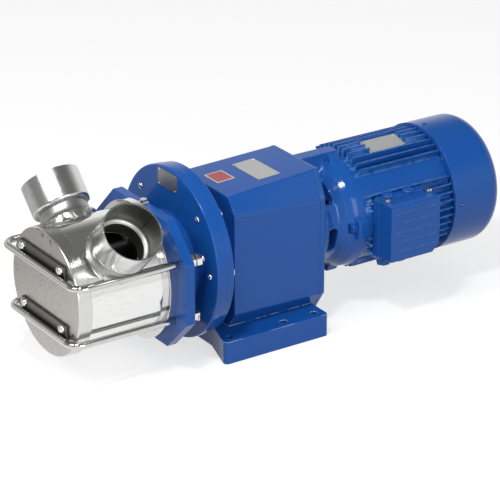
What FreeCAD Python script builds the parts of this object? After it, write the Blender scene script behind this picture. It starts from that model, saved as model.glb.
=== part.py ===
"""Flexible impeller pump with gearmotor.

Millimetres. X runs along the shafts towards the motor, Z is up. The origin lies in the base plane,
in the middle of the four corner holes of the gearbox foot.
"""
import FreeCAD, Part
import Sketcher
import math
import os
import re

# Driving dimensions

SIZES = {
    # Gearbox foot and shaft lines
    "motor_axis_height": 170,
    "disc_to_foot_centre": 134.5,
    "foot_front_reach": 107.5,
    "foot_back_reach": 105.5,
    "foot_half_width": 127,
    "foot_height": 41,
    "foot_front_dip": 24,
    "foot_dip_half_width": 50,
    "foot_corner_radius": 7,
    "foot_hole_spacing": 173,
    "foot_hole_gauge": 220,
    "foot_hole_diameter": 13,
    "foot_middle_hole": 23.5,
    # Gears
    "first_module": 2.5,
    "first_pinion_teeth": 14,
    "first_gear_teeth": 30,
    "first_gear_width": 26,
    "second_module": 3.5,
    "second_pinion_teeth": 12,
    "second_gear_teeth": 28,
    "second_gear_width": 30,
    "pinion_extra_width": 4,
    "gear_start": 11,
    "gear_space": 57,
    "gear_bore_radius": 20,
    "small_gear_bore_radius": 14,
    "backlash": 0.3,
    "pressure_angle": 20,
    "tooth_addendum": 0.8,
    "tooth_dedendum": 1.25,
    "tooth_root_rise": 0.1,
    "gear_hub_wall": 8,
    "gear_rim_wall": 6,
    "gear_web_recess": 5,
    "gear_collar": 2,
    "small_gear_collar": 3,
    # Fits
    "running_gap": 0.05,
    "seat_gap": 0.3,
    "overcut": 1,
    "shaft_clearance": 2,
    "shoulder_gap": 1,
    "bearing_shoulder": 2,
    "bearing_lip": 4,
    # Adapter disc and output flange
    "disc_radius": 150,
    "disc_thickness": 15,
    "disc_hole_radius": 50,
    "disc_edge": 1.5,
    "flange_radius": 148,
    "flange_thickness": 19,
    "neck_radius": 85,
    "neck_length": 36,
    "flange_bore_radius": 28,
    "disc_screw_circle": 126,
    "disc_screw_radius": 4,
    "disc_screw_count": 8,
    "disc_nut_flats": 16,
    "disc_nut_height": 9,
    "screw_end": 2,
    # Gearbox housing
    "housing_length": 178,
    "housing_bottom_half_width": 60,
    "housing_bottom_height": 20,
    "housing_front_half_width": 93,
    "housing_front_bevel_height": 80,
    "housing_front_top_half_width": 72,
    "housing_front_top": 107,
    "housing_back_half_width": 88,
    "housing_back_bevel_height": 67,
    "housing_back_top_half_width": 66,
    "housing_back_top": 115,
    "housing_front_low_edge": 101,
    "housing_back_low_edge": 108.5,
    "housing_edge": 4,
    "front_wall": 14,
    "cavity_half_width": 79,
    "cavity_top_half_width": 57,
    "cavity_bevel_height": 66,
    "cavity_top": 98,
    "cavity_bottom": 106,
    "cavity_low_half_width": 72,
    "cavity_ledge": 6,
    "cavity_toe": 10,
    "bearing_wall_thickness": 16,
    "rear_cover_thickness": 10,
    # Gearbox bearings and seals
    "output_bearing_outer": 36,
    "output_bearing_inner": 17.5,
    "output_bearing_width": 17,
    "rear_bearing_outer": 31,
    "rear_bearing_inner": 15,
    "rear_bearing_width": 16,
    "small_bearing_outer": 23.5,
    "small_bearing_inner": 10,
    "small_bearing_width": 14,
    "wall_hole_radius": 30,
    "wall_pass_radius": 22,
    "output_seal_radius": 31,
    "output_seal_width": 10,
    "output_seal_depth": 25,
    "input_seal_radius": 23.5,
    "input_seal_width": 7,
    "bearing_boss_wall": 6,
    "oil_plug_radius": 8,
    "oil_plug_flats": 19,
    "oil_plug_head": 8,
    "oil_plug_inset": 4,
    "oil_drain_drop": 82,
    "oil_level_drop": 20,
    # Shafts
    "pump_shaft_radius": 14,
    "pump_shaft_end": 6,
    "pump_shaft_taper": 4,
    "output_collar_radius": 24,
    "input_shaft_radius": 14,
    "layshaft_radius": 13,
    # Lantern, support plate and pump head
    "lantern_length": 40.5,
    "lantern_radius": 88,
    "lantern_wall": 12,
    "lantern_window_half_width": 30,
    "plate_thickness": 17.8,
    "plate_half_width": 143,
    "plate_half_height": 113.5,
    "plate_corner": 60,
    "plate_hole_radius": 55,
    "clip_width": 16,
    "clip_sheet": 3,
    "clip_inset": 2,
    "clip_nut_flats": 11,
    "clip_nut_height": 5,
    "body_flange_thickness": 13.7,
    "body_flange_step": 11,
    "body_length": 142,
    "body_radius": 108,
    "body_neck_depth": 4,
    "body_neck_length": 8,
    "body_wall": 13,
    "rear_wall": 26,
    "seal_pocket_radius": 27,
    "seal_pocket_depth": 18,
    "seal_seat_radius": 22,
    "seal_seat_width": 8,
    "rear_bore_radius": 17,
    "seal_ring_step": 1,
    "bellows_fold": 3,
    "bellows_pitch": 2,
    "cover_thickness": 26,
    "cover_overhang": 2,
    "cover_edge": 4,
    "ring_section": 1.6,
    "ring_groove_depth": 3.4,
    "ring_groove_play": 0.2,
    # Ports
    "port_angle": 45,
    "port_plane": 78.7,
    "port_stand": 82,
    "collar_radius": 51,
    "collar_bore": 49,
    "collar_length": 59,
    "collar_floor": 2,
    "collar_round": 8,
    "collar_inner_round": 7,
    "port_neck_radius": 42.5,
    "port_bore": 40,
    "port_flare_radius": 51,
    "port_flare_rise": 1,
    "port_flare_length": 7,
    "port_flare_waist": 1.3,
    # Stirrups, clamp bars and their screws
    "bar_radius": 6,
    "bar_front_gap": 4.7,
    "upper_bar_side": 13,
    "upper_bar_rise": 49,
    "lower_bar_side": -2,
    "lower_bar_drop": 56.5,
    "bar_bend_radius": 22,
    "bar_nut_flats": 19,
    "bar_nut_height": 9,
    "washer_radius": 11,
    "washer_thickness": 2,
    "clamp_height": 18,
    "clamp_inset": 26,
    "clamp_lift": 14,
    "lower_clamp_lift": 16,
    "clamp_screw_offset": 62,
    "clamp_screw_radius": 5,
    "clamp_head_radius": 7.5,
    "clamp_head_top_radius": 5.2,
    "clamp_head_height": 6,
    "clamp_screw_depth": 10,
    # Impeller
    "vane_count": 10,
    "vane_root": 11,
    "vane_tip": 6.5,
    "vane_bulb": 6.5,
    "vane_sink": 4,
    "vane_taper": 1.4,
    "free_vane_bend": 5,
    "cam_vane_bend": 16,
    "cam_vane_gap": 1.5,
    "impeller_hub": 38,
    "insert_radius": 24,
    "impeller_end_gap": 0.4,
    "cam_depth": 12,
    "cam_half_angle": 16.5,
    # Input adapter and motor shields
    "adapter_length": 47,
    "adapter_radius": 80,
    "adapter_rim_radius": 87,
    "adapter_rim": 10,
    "adapter_bore": 62,
    "adapter_bell_radius": 91,
    "adapter_bell_length": 14,
    "rib_half_width": 12,
    "rib_root": 75,
    "rib_top": 113.5,
    "window_half_width": 9,
    "window_half_height": 24,
    "window_cut_start": 43,
    "upper_window_angle": 40,
    "lower_window_angle": 106,
    "shield_length": 31,
    "shield_step": 2,
    "shield_round": 13,
    "shield_edge": 3,
    "shield_lip": 8,
    "lug_reach": 110,
    "lug_half_width": 25,
    "lug_slope": 19,
    "lug_nose_half_width": 14,
    "lug_length": 21,
    "lug_bolt_circle": 93,
    "lug_bolt_flats": 16,
    "lug_bolt_head": 6.5,
    # Motor
    "frame_length": 183,
    "frame_radius": 100,
    "frame_wall": 8,
    "fin_height": 14,
    "low_fin_height": 7,
    "fin_thickness": 4,
    "fin_root": 2,
    "fin_start": 10,
    "fin_end": 4,
    "fin_pitch": 7.2,
    "top_fin_count": 11,
    "side_fin_count": 9,
    "name_pad_start": 57,
    "name_pad_length": 78,
    "name_pad_width": 40,
    "name_pad_rise": 5.3,
    "name_pad_depth": 13,
    "name_room_height": 30,
    "name_pad_tilt": 15,
    "name_pad_shift": 12.9,
    "motor_bearing_outer": 31,
    "motor_bearing_inner": 15,
    "motor_bearing_width": 16,
    "core_start": 29,
    "core_length": 115,
    "stator_bore": 61,
    "air_gap": 0.5,
    "winding_length": 18,
    "winding_inset": 8,
    "winding_step": 3,
    "rotor_shaft_radius": 20,
    "rear_shield_length": 26,
    "rear_shield_web": 10,
    "shield_rim_wall": 8,
    "rear_bearing_inset": 5,
    "rear_bearing_hub": 38,
    "fan_shaft_radius": 11,
    # Fan cover and fan
    "fan_cover_length": 106,
    "fan_cover_gap": 2,
    "fan_cover_wall": 2,
    "fan_cover_round": 26,
    "fan_gap": 6,
    "fan_shaft_end": 2,
    "slot_width": 6,
    "inner_slot_count": 12,
    "inner_slot_start": 28,
    "inner_slot_length": 20,
    "outer_slot_count": 24,
    "outer_slot_start": 57,
    "outer_slot_length": 25,
    "fan_radius": 90,
    "fan_disc_radius": 72,
    "blade_root": 2,
    "fan_hub_radius": 22,
    "fan_width": 34,
    "fan_blade_count": 8,
    "fan_blade_thickness": 3,
    "cover_screw_radius": 4,
    "cover_screw_top_radius": 2.4,
    "cover_screw_length": 8,
    "cover_screw_head": 2.5,
    "cover_screw_place": 15,
    # Terminal box
    "box_start": 14,
    "box_length": 110,
    "box_top": 52,
    "box_low": 62,
    "box_depth": 18,
    "box_wall": 5,
    "box_corner": 8,
    "lid_start": 0.5,
    "lid_length": 103,
    "lid_top": 50,
    "lid_low": 52,
    "lid_depth": 36,
    "lid_wall": 4,
    "lid_bevel": 3,
    "lid_corner": 14,
    "lid_rib": 0.8,
    "lid_rib_width": 3,
    "lid_rib_pitch": 17.5,
    "lid_rib_inset": 9,
    "lid_screw_radius": 3,
    "lid_screw_head": 5,
    "lid_screw_length": 3,
    "lid_ear_thickness": 14,
    "lid_ear_height": 6,
    "lid_screw_rise": 3,
    "lid_screw_inset": 8,
    "box_pad_inset": 6,
    "plug_radius": 8,
    "plug_flats": 22,
    "plug_head": 10,
    "plug_sink": 0.5,
    "first_plug": 17,
    "second_plug": 50,
    "terminal_block_length": 70,
    "terminal_block_depth": 14,
    "terminal_block_height": 40,
    "terminal_block_start": 17,
    "terminal_block_drop": 15,
    # Bare plates
    "plate_sheet": 0.8,
    "plate_gap": 0.02,
    "plate_margin": 1,
    "disc_plate_width": 60,
    "disc_plate_height": 31,
    "disc_plate_side": 3,
    "disc_plate_centre": 127.5,
    "red_label_start": 18,
    "red_label_length": 35,
    "red_label_width": 42,
    "red_label_side": 7,
    "silver_plate_start": 80,
    "silver_plate_length": 44,
    "silver_plate_width": 82,
    "silver_plate_side": -4,
}

# Places worked out from the driving dimensions

PLACES = {
    "first_centres": "first_module * (first_pinion_teeth + first_gear_teeth) / 2",
    "second_centres": "second_module * (second_pinion_teeth + second_gear_teeth) / 2",
    "axis_drop": "second_centres - first_centres",
    "pump_axis_height": "motor_axis_height - axis_drop",
    "layshaft_height": "motor_axis_height + first_centres",
    "disc_front": "0 - disc_to_foot_centre",
    "disc_back": "disc_front + disc_thickness",
    "flange_back": "disc_back + flange_thickness",
    "housing_front": "flange_back + neck_length",
    "cavity_front": "housing_front + front_wall",
    "second_gear_front": "cavity_front + gear_start",
    "wall_front": "second_gear_front + second_gear_width + gear_start + pinion_extra_width",
    "wall_back": "wall_front + bearing_wall_thickness",
    "first_gear_front": "wall_back + gear_start + pinion_extra_width",
    "housing_back": "housing_front + housing_length",
    "boss_front": "housing_back - small_bearing_width",
    "rear_cover_back": "housing_back + rear_cover_thickness",
    "adapter_back": "rear_cover_back + adapter_length",
    "shield_back": "adapter_back + shield_length",
    "frame_back": "shield_back + frame_length",
    "fan_cover_back": "frame_back + fan_cover_length",
    "core_front": "shield_back + core_start",
    "core_back": "core_front + core_length",
    "front_bearing_back": "shield_back - bearing_lip",
    "rear_bearing_front": "frame_back + rear_bearing_inset",
    "fan_front": "frame_back + rear_shield_length + fan_gap",
    "plate_back": "disc_front - lantern_length",
    "plate_front": "plate_back - plate_thickness",
    "body_back": "plate_front",
    "body_flange_front": "plate_front - body_flange_thickness",
    "body_front": "body_flange_front - body_length",
    "chamber_back": "body_flange_front - rear_wall",
    "seat_back": "chamber_back + seal_pocket_depth + seal_seat_width",
    "cover_front": "body_front - cover_thickness",
    "bar_front": "cover_front - bar_front_gap - bar_radius",
    "port_place": "body_flange_front - port_plane",
    "fin_front": "shield_back + fin_start",
    "fin_back": "frame_back - fin_end",
    "box_front": "shield_back + box_start",
    "lid_front": "shield_back + box_start + lid_start",
    "body_flange_radius": "body_radius + body_flange_step",
    "chamber_radius": "body_radius - body_wall",
    "ring_groove_radius": "body_radius - body_wall / 2",
    "cover_radius": "body_radius + cover_overhang",
    "port_reach": "body_radius + port_stand",
    "port_flare_end": "body_radius + port_flare_rise",
    "upper_bar_half_width": "body_radius + upper_bar_side",
    "lower_bar_half_width": "body_radius + lower_bar_side",
    "frame_bore": "frame_radius - frame_wall",
    "fin_radius": "frame_radius + fin_height",
    "low_fin_radius": "frame_radius + low_fin_height",
    "shield_radius": "frame_radius + shield_step",
    "name_pad_level": "frame_radius + name_pad_rise",
    "fan_cover_radius": "fin_radius + fan_cover_gap",
    "box_foot": "frame_radius",
}

doc = FreeCAD.newDocument("flexible_impeller_pump")
sheet = doc.addObject("Spreadsheet::Sheet", "Sizes")
for row, (word, amount) in enumerate(SIZES.items(), start=1):
    sheet.set("A%d" % row, word)
    sheet.set("B%d" % row, str(amount))
    sheet.setAlias("B%d" % row, word)
doc.recompute()
reader = doc.addObject("App::DocumentObjectGroup", "Reader")

NODES = []
SPIN_X = FreeCAD.Rotation(FreeCAD.Vector(0, 1, 0), 90)
SPIN_Y = FreeCAD.Rotation(FreeCAD.Vector(1, 0, 0), -90)
SPIN_Z = FreeCAD.Rotation()
DIRECTIONS = {"x": SPIN_X, "y": SPIN_Y, "z": SPIN_Z}


# Formulas and numbers

def formula(text):
    """Write a size formula with the sheet's name before each of its words."""
    def full(match):
        word = match.group()
        if word in PLACES:
            return "(" + formula(PLACES[word]) + ")"
        return "Sizes." + word if word in SIZES else word
    return re.sub(r"[a-z][a-z0-9_]*", full, str(text))


def number(text):
    """The present value of a size formula."""
    return float(reader.evalExpression(formula(text)))


def bind(thing, **values):
    """Tie properties of an object to size formulas."""
    for name, text in values.items():
        thing.setExpression(name, formula(text))


def place(thing, spot, direction="z"):
    """Put an object at a spot given by three formulas, turned to run along an axis."""
    thing.Placement = FreeCAD.Placement(FreeCAD.Vector(0, 0, 0), DIRECTIONS[direction])
    for axis, text in zip("xyz", spot):
        thing.setExpression("Placement.Base." + axis, formula(text))


def keep(thing, label):
    """Name a finished piece and put it on the list of nodes."""
    thing.Label = label
    NODES.append(thing)
    return thing


# Plain solids

def rod(name, radius, length, spot, direction="x"):
    """Round bar that starts at a spot and runs along an axis."""
    made = doc.addObject("Part::Cylinder", name)
    bind(made, Radius=radius, Height=length)
    place(made, spot, direction)
    return made


def hex_rod(name, flats, length, spot, direction="x"):
    """Six-sided bar given by its width over flats."""
    made = doc.addObject("Part::Prism", name)
    made.Polygon = 6
    bind(made, Circumradius="(%s) / 2 / cos(30)" % flats, Height=length)
    place(made, spot, direction)
    return made


def block(name, size, spot):
    """Box with its low corner at a spot."""
    made = doc.addObject("Part::Box", name)
    bind(made, Length=size[0], Width=size[1], Height=size[2])
    place(made, spot)
    return made


def cone(name, first, last, length, spot, direction="x"):
    """Tapered round bar."""
    made = doc.addObject("Part::Cone", name)
    bind(made, Radius1=first, Radius2=last, Height=length)
    place(made, spot, direction)
    return made


def joined(name, pieces):
    made = doc.addObject("Part::MultiFuse", name)
    made.Shapes = pieces
    return made


def cut(name, base, tool):
    made = doc.addObject("Part::Cut", name)
    made.Base = base
    made.Tool = tool
    return made


def collected(name, pieces):
    made = doc.addObject("Part::Compound", name)
    made.Links = pieces
    return made


def ring(name, outer, inner, length, spot, direction="x"):
    """Round tube along an axis."""
    hole_spot = list(spot)
    index = "xyz".index(direction)
    hole_spot[index] = "(%s) - overcut" % spot[index]
    wall = rod(name + "_wall", outer, length, spot, direction)
    hole = rod(name + "_hole", inner, "(%s) + 2 * overcut" % length, hole_spot, direction)
    return cut(name, wall, hole)


# Bodies with sketches

def new_body(label, height="0"):
    """Body whose own base line lies at a height above the foot's underside."""
    made = doc.addObject("PartDesign::Body", label)
    bind(made, **{"Placement.Base.z": height})
    return made


def origin_feature(body, role):
    for feature in body.Origin.OriginFeatures:
        if feature.Role == role:
            return feature


def sketch_on(body, role, offset="0"):
    """Sketch on a plane of the body, moved along the plane's normal."""
    made = body.newObject("Sketcher::SketchObject", body.Name + "_sketch")
    made.AttachmentSupport = [(origin_feature(body, role), "")]
    made.MapMode = "FlatFace"
    bind(made, **{"AttachmentOffset.Base.z": offset})
    return made


def constrain(sketch, kind, *rest):
    """Add a constraint whose last entry is a size formula."""
    text = rest[-1]
    index = sketch.addConstraint(Sketcher.Constraint(kind, *rest[:-1], number(text)))
    sketch.setExpression("Constraints[%d]" % index, formula(text))


def outline(sketch, corners):
    """Closed outline of straight lines, each corner tied to the sheet."""
    spots = [FreeCAD.Vector(number(across), number(up), 0) for across, up in corners]
    count = len(spots)
    first = sketch.GeometryCount
    for index in range(count):
        line = Part.LineSegment(spots[index], spots[(index + 1) % count])
        sketch.addGeometry(line, False)
    for index in range(count):
        following = first + (index + 1) % count
        sketch.addConstraint(Sketcher.Constraint("Coincident", first + index, 2, following, 1))
    for index, (across, up) in enumerate(corners):
        constrain(sketch, "DistanceX", -1, 1, first + index, 1, across)
        constrain(sketch, "DistanceY", -1, 1, first + index, 1, up)


def circle(sketch, across, up, radius):
    """Circle with its centre and radius tied to the sheet."""
    centre = FreeCAD.Vector(number(across), number(up), 0)
    normal = FreeCAD.Vector(0, 0, 1)
    index = sketch.addGeometry(Part.Circle(centre, normal, number(radius)), False)
    constrain(sketch, "Radius", index, radius)
    constrain(sketch, "DistanceX", -1, 1, index, 3, across)
    constrain(sketch, "DistanceY", -1, 1, index, 3, up)


def mirrored_outline(half):
    """Corners of one side from bottom to top, followed by the same on the other side."""
    other = [("0 - (%s)" % across, up) for across, up in reversed(half)]
    return half + other


def pad(body, sketch, length, backward=False):
    made = body.newObject("PartDesign::Pad", body.Name + "_pad")
    made.Profile = sketch
    made.Reversed = backward
    bind(made, Length=length)
    body.Tip = made
    return made


def pocket(body, sketch, length, forward=True):
    """Cut from the sketch along its normal, or against it."""
    made = body.newObject("PartDesign::Pocket", body.Name + "_pocket")
    made.Profile = sketch
    made.Reversed = forward
    bind(made, Length=length)
    body.Tip = made
    return made


def revolve(body, sketch):
    made = body.newObject("PartDesign::Revolution", body.Name + "_turn")
    made.Profile = sketch
    made.ReferenceAxis = (sketch, ["H_Axis"])
    made.Angle = 360
    body.Tip = made
    return made


def repeat_round(body, feature, count, angle=360):
    """Copies of a feature turned about the body's X axis."""
    made = body.newObject("PartDesign::PolarPattern", body.Name + "_pattern")
    made.Originals = [feature]
    made.Axis = (origin_feature(body, "X_Axis"), [""])
    if angle == 360:
        made.Angle = 360
    else:
        bind(made, Angle=angle)
    bind(made, Occurrences=count)
    body.Tip = made
    return made


def dress(body, kind, size, chosen):
    """Fillet or chamfer the edges that a test picks."""
    doc.recompute()
    base = body.Tip
    names = ["Edge%d" % index for index, edge in enumerate(base.Shape.Edges, start=1) if chosen(edge)]
    made = body.newObject("PartDesign::" + kind, body.Name + "_" + kind.lower())
    made.Base = (base, names)
    made.setExpression("Radius" if kind == "Fillet" else "Size", formula(size))
    body.Tip = made
    return made


def round_at(place_text, radius_text):
    """Test that picks the round edges at one place along X with one radius."""
    def chosen(edge):
        if not isinstance(edge.Curve, Part.Circle):
            return False
        far = abs(edge.Curve.Center.x - number(place_text))
        return far < 0.01 and abs(edge.Curve.Radius - number(radius_text)) < 0.01
    return chosen


def ring_round_z(level_text, radius_text):
    """Test that picks the round edges at one level along the body's own Z with one radius."""
    def chosen(edge):
        if not isinstance(edge.Curve, Part.Circle):
            return False
        far = abs(edge.Curve.Center.z - number(level_text))
        return far < 0.01 and abs(edge.Curve.Radius - number(radius_text)) < 0.01
    return chosen


def turned(label, height, corners):
    """Turned piece about a line along X, from corners of place along X and radius."""
    body = new_body(label, height)
    sketch = sketch_on(body, "XZ_Plane")
    outline(sketch, corners)
    revolve(body, sketch)
    return body


def spots_round(circle_radius, count, start=0):
    """Side and height of spots spread evenly on a circle about the motor axis."""
    step = 360.0 / number(count)
    spots = []
    for index in range(int(number(count))):
        angle = "%.6f" % (start + index * step)
        spots.append(("%s * sin(%s)" % (circle_radius, angle), "%s * cos(%s)" % (circle_radius, angle)))
    return spots


# Foot and gearbox housing

def housing_section(which):
    """Corners of the housing's section at its front or back, about the motor axis."""
    side = "housing_%s_half_width" % which
    bevel = "housing_%s_bevel_height" % which
    roof_side = "housing_%s_top_half_width" % which
    roof = "housing_%s_top" % which
    half = [
        ("housing_bottom_half_width", "housing_bottom_height - motor_axis_height"),
        (side, "0 - housing_%s_low_edge" % which),
        (side, bevel + " - housing_edge"),
        (side + " - housing_edge / 2", bevel + " + housing_edge / 2"),
        (roof_side + " + housing_edge / 2", roof + " - housing_edge / 2"),
        (roof_side + " - housing_edge", roof),
    ]
    return mirrored_outline(half)


def cavity_section(inset):
    half = [
        ("cavity_low_half_width - %s" % inset, "%s - cavity_bottom" % inset),
        ("cavity_half_width - %s" % inset, "%s - cavity_bottom + cavity_toe" % inset),
        ("cavity_half_width - %s" % inset, "cavity_bevel_height - %s / 2" % inset),
        ("cavity_top_half_width - %s / 2" % inset, "cavity_top - %s" % inset),
    ]
    return mirrored_outline(half)


def gearbox_housing():
    body = new_body("gearbox_housing", "motor_axis_height")
    front = sketch_on(body, "YZ_Plane", "housing_front")
    outline(front, housing_section("front"))
    back = sketch_on(body, "YZ_Plane", "housing_back")
    outline(back, housing_section("back"))
    loft = body.newObject("PartDesign::AdditiveLoft", "housing_loft")
    loft.Profile = front
    loft.Sections = [back]
    loft.Ruled = True
    body.Tip = loft
    foot = sketch_on(body, "XY_Plane", "0 - motor_axis_height")
    outline(foot, [
        ("0 - foot_front_reach", "foot_half_width"),
        ("foot_front_dip - foot_front_reach", "foot_dip_half_width"),
        ("foot_front_dip - foot_front_reach", "0 - foot_dip_half_width"),
        ("0 - foot_front_reach", "0 - foot_half_width"),
        ("foot_back_reach", "0 - foot_half_width"),
        ("foot_back_reach", "foot_half_width"),
    ])
    pad(body, foot, "foot_height")
    dress(body, "Fillet", "foot_corner_radius", foot_corner)
    holes = sketch_on(body, "XY_Plane", "0 - motor_axis_height")
    for across in ("0 - foot_hole_spacing / 2", "foot_middle_hole", "foot_hole_spacing / 2"):
        for side in ("0 - foot_hole_gauge / 2", "foot_hole_gauge / 2"):
            circle(holes, across, side, "foot_hole_diameter / 2")
    pocket(body, holes, "foot_height + overcut")
    front_room = sketch_on(body, "YZ_Plane", "cavity_front")
    outline(front_room, cavity_section("cavity_ledge"))
    pocket(body, front_room, "wall_front - cavity_front + overcut")
    back_room = sketch_on(body, "YZ_Plane", "wall_front")
    outline(back_room, cavity_section("0"))
    pocket(body, back_room, "housing_back - wall_front + overcut")
    bores = sketch_on(body, "YZ_Plane", "housing_front - overcut")
    circle(bores, "0", "0 - axis_drop", "wall_hole_radius")
    circle(bores, "0", "first_centres", "small_bearing_outer + running_gap")
    pocket(body, bores, "front_wall + 2 * overcut")
    plugs = sketch_on(body, "XZ_Plane", "0 - housing_front_half_width - overcut")
    circle(plugs, "wall_back + gear_space / 2", "0 - oil_drain_drop", "oil_plug_radius + running_gap")
    circle(plugs, "wall_back + gear_space / 2", "0 - oil_level_drop", "oil_plug_radius + running_gap")
    pocket(body, plugs, "housing_front_half_width - cavity_half_width + cavity_ledge + 3 * overcut")
    keep(body, "gearbox_housing")


def foot_corner(edge):
    """The upright edges at the foot's four corners."""
    box = edge.BoundBox
    upright = box.ZLength > number("foot_height") - 0.1 and box.XLength < 0.01 and box.YLength < 0.01
    return upright and abs(box.YMax) > number("foot_half_width") - 0.1


def gearbox_rear_cover():
    body = new_body("gearbox_rear_cover", "motor_axis_height")
    plate = sketch_on(body, "YZ_Plane", "housing_back")
    half = [
        ("housing_bottom_half_width", "housing_bottom_height - motor_axis_height"),
        ("housing_back_half_width", "0 - housing_back_low_edge"),
        ("housing_back_half_width", "housing_back_bevel_height"),
        ("housing_back_top_half_width", "housing_back_top"),
    ]
    outline(plate, mirrored_outline(half))
    pad(body, plate, "rear_cover_thickness")
    boss = sketch_on(body, "YZ_Plane", "boss_front")
    circle(boss, "0", "first_centres", "small_bearing_outer + bearing_boss_wall")
    pad(body, boss, "small_bearing_width + overcut")
    seat = sketch_on(body, "YZ_Plane", "boss_front - overcut")
    circle(seat, "0", "first_centres", "small_bearing_outer + running_gap")
    pocket(body, seat, "small_bearing_width + overcut")
    bore = sketch_on(body, "YZ_Plane", "housing_back - overcut")
    circle(bore, "0", "0", "input_shaft_radius + shaft_clearance")
    pocket(body, bore, "rear_cover_thickness + 2 * overcut")
    seal = sketch_on(body, "YZ_Plane", "rear_cover_back - input_seal_width")
    circle(seal, "0", "0", "input_seal_radius + running_gap")
    pocket(body, seal, "input_seal_width + overcut")
    keep(body, "gearbox_rear_cover")


def bearing_wall():
    """Wall inside the housing that carries the back end of the output shaft."""
    body = new_body("bearing_wall", "motor_axis_height")
    plate = sketch_on(body, "YZ_Plane", "wall_front")
    outline(plate, cavity_section("seat_gap"))
    pad(body, plate, "bearing_wall_thickness")
    holes = sketch_on(body, "YZ_Plane", "wall_front - overcut")
    circle(holes, "0", "0 - axis_drop", "rear_bearing_outer + running_gap")
    circle(holes, "0", "first_centres", "wall_pass_radius")
    pocket(body, holes, "bearing_wall_thickness + 2 * overcut")
    keep(body, "bearing_wall")


def output_flange():
    """Round flange on the gearbox front, with a neck that holds the front bearing and oil seal."""
    body = turned("output_flange", "motor_axis_height", [
        ("disc_back", "0"),
        ("disc_back", "flange_radius"),
        ("flange_back", "flange_radius"),
        ("flange_back", "neck_radius"),
        ("housing_front", "neck_radius"),
        ("housing_front", "0"),
    ])
    seal = sketch_on(body, "YZ_Plane", "disc_back - overcut")
    circle(seal, "0", "0 - axis_drop", "output_seal_radius + running_gap")
    pocket(body, seal, "output_seal_depth + overcut")
    bore = sketch_on(body, "YZ_Plane", "disc_back - overcut")
    circle(bore, "0", "0 - axis_drop", "flange_bore_radius")
    pocket(body, bore, "flange_thickness + neck_length + 2 * overcut")
    seat = sketch_on(body, "YZ_Plane", "housing_front - output_bearing_width")
    circle(seat, "0", "0 - axis_drop", "output_bearing_outer + running_gap")
    pocket(body, seat, "output_bearing_width + overcut")
    hole = sketch_on(body, "YZ_Plane", "disc_back - overcut")
    circle(hole, "0", "disc_screw_circle", "disc_screw_radius + seat_gap")
    repeat_round(body, pocket(body, hole, "flange_thickness + 2 * overcut"), "disc_screw_count")
    dress(body, "Chamfer", "disc_edge", round_at("flange_back", "flange_radius"))
    keep(body, "output_flange")


def oil_plugs():
    """Hexagon plugs for oil level and oil drain on the far side."""
    pieces = []
    for name, drop in (("level", "oil_level_drop"), ("drain", "oil_drain_drop")):
        spot = ["wall_back + gear_space / 2", "cavity_half_width + oil_plug_inset",
                "motor_axis_height - %s" % drop]
        stem = rod("oil_%s_stem" % name, "oil_plug_radius", "housing_front_half_width - cavity_half_width",
                   spot, "y")
        head_spot = [spot[0], "oil_plug_face", spot[2]]
        head = hex_rod("oil_%s_head" % name, "oil_plug_flats", "oil_plug_head", head_spot, "y")
        pieces.append(joined("oil_%s_plug" % name, [stem, head]))
    keep(collected("oil_plugs", pieces), "oil_plugs")


# The housing narrows towards the back, so the plug heads stand on its side at their own place along X.
PLACES["oil_plug_share"] = ("(wall_back + gear_space / 2 - oil_plug_flats / 2 - housing_front)"
                            " / housing_length")
PLACES["oil_plug_face"] = ("housing_front_half_width + seat_gap"
                           " - (housing_front_half_width - housing_back_half_width) * oil_plug_share")


# Adapter disc, lantern and support plate

def adapter_disc():
    body = turned("adapter_disc", "motor_axis_height", [
        ("disc_front", "disc_hole_radius"),
        ("disc_front", "disc_radius"),
        ("disc_back", "disc_radius"),
        ("disc_back", "disc_hole_radius"),
    ])
    hole = sketch_on(body, "YZ_Plane", "disc_front - overcut")
    circle(hole, "0", "disc_screw_circle", "disc_screw_radius + seat_gap")
    repeat_round(body, pocket(body, hole, "disc_thickness + 2 * overcut"), "disc_screw_count")
    dress(body, "Chamfer", "disc_edge", round_at("disc_front", "disc_radius"))
    keep(body, "adapter_disc")


def disc_fasteners():
    """Studs through the disc and the flange, with nuts behind the flange."""
    studs = []
    nuts = []
    for index, (side, up) in enumerate(spots_round("disc_screw_circle", "disc_screw_count")):
        height = "motor_axis_height + %s" % up
        length = "disc_thickness + flange_thickness + disc_nut_height + screw_end"
        studs.append(rod("disc_stud_%d" % index, "disc_screw_radius", length, ["disc_front", side, height]))
        nut = hex_rod("disc_nut_body_%d" % index, "disc_nut_flats", "disc_nut_height",
                      ["flange_back", side, height])
        hole = rod("disc_nut_hole_%d" % index, "disc_screw_radius + running_gap",
                   "disc_nut_height + 2 * overcut", ["flange_back - overcut", side, height])
        nuts.append(cut("disc_nut_%d" % index, nut, hole))
    keep(collected("disc_studs", studs), "disc_studs")
    keep(collected("disc_nuts", nuts), "disc_nuts")


def lantern():
    """Short tube between disc and support plate, open at the top and bottom."""
    body = turned("lantern", "pump_axis_height", [
        ("plate_back", "lantern_radius - lantern_wall"),
        ("plate_back", "lantern_radius"),
        ("disc_front", "lantern_radius"),
        ("disc_front", "lantern_radius - lantern_wall"),
    ])
    window = sketch_on(body, "XY_Plane", "0 - lantern_radius - overcut")
    outline(window, [
        ("plate_back + lantern_wall / 2", "0 - lantern_window_half_width"),
        ("disc_front - lantern_wall / 2", "0 - lantern_window_half_width"),
        ("disc_front - lantern_wall / 2", "lantern_window_half_width"),
        ("plate_back + lantern_wall / 2", "lantern_window_half_width"),
    ])
    pocket(body, window, "2 * lantern_radius + 2 * overcut")
    keep(body, "lantern")


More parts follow.
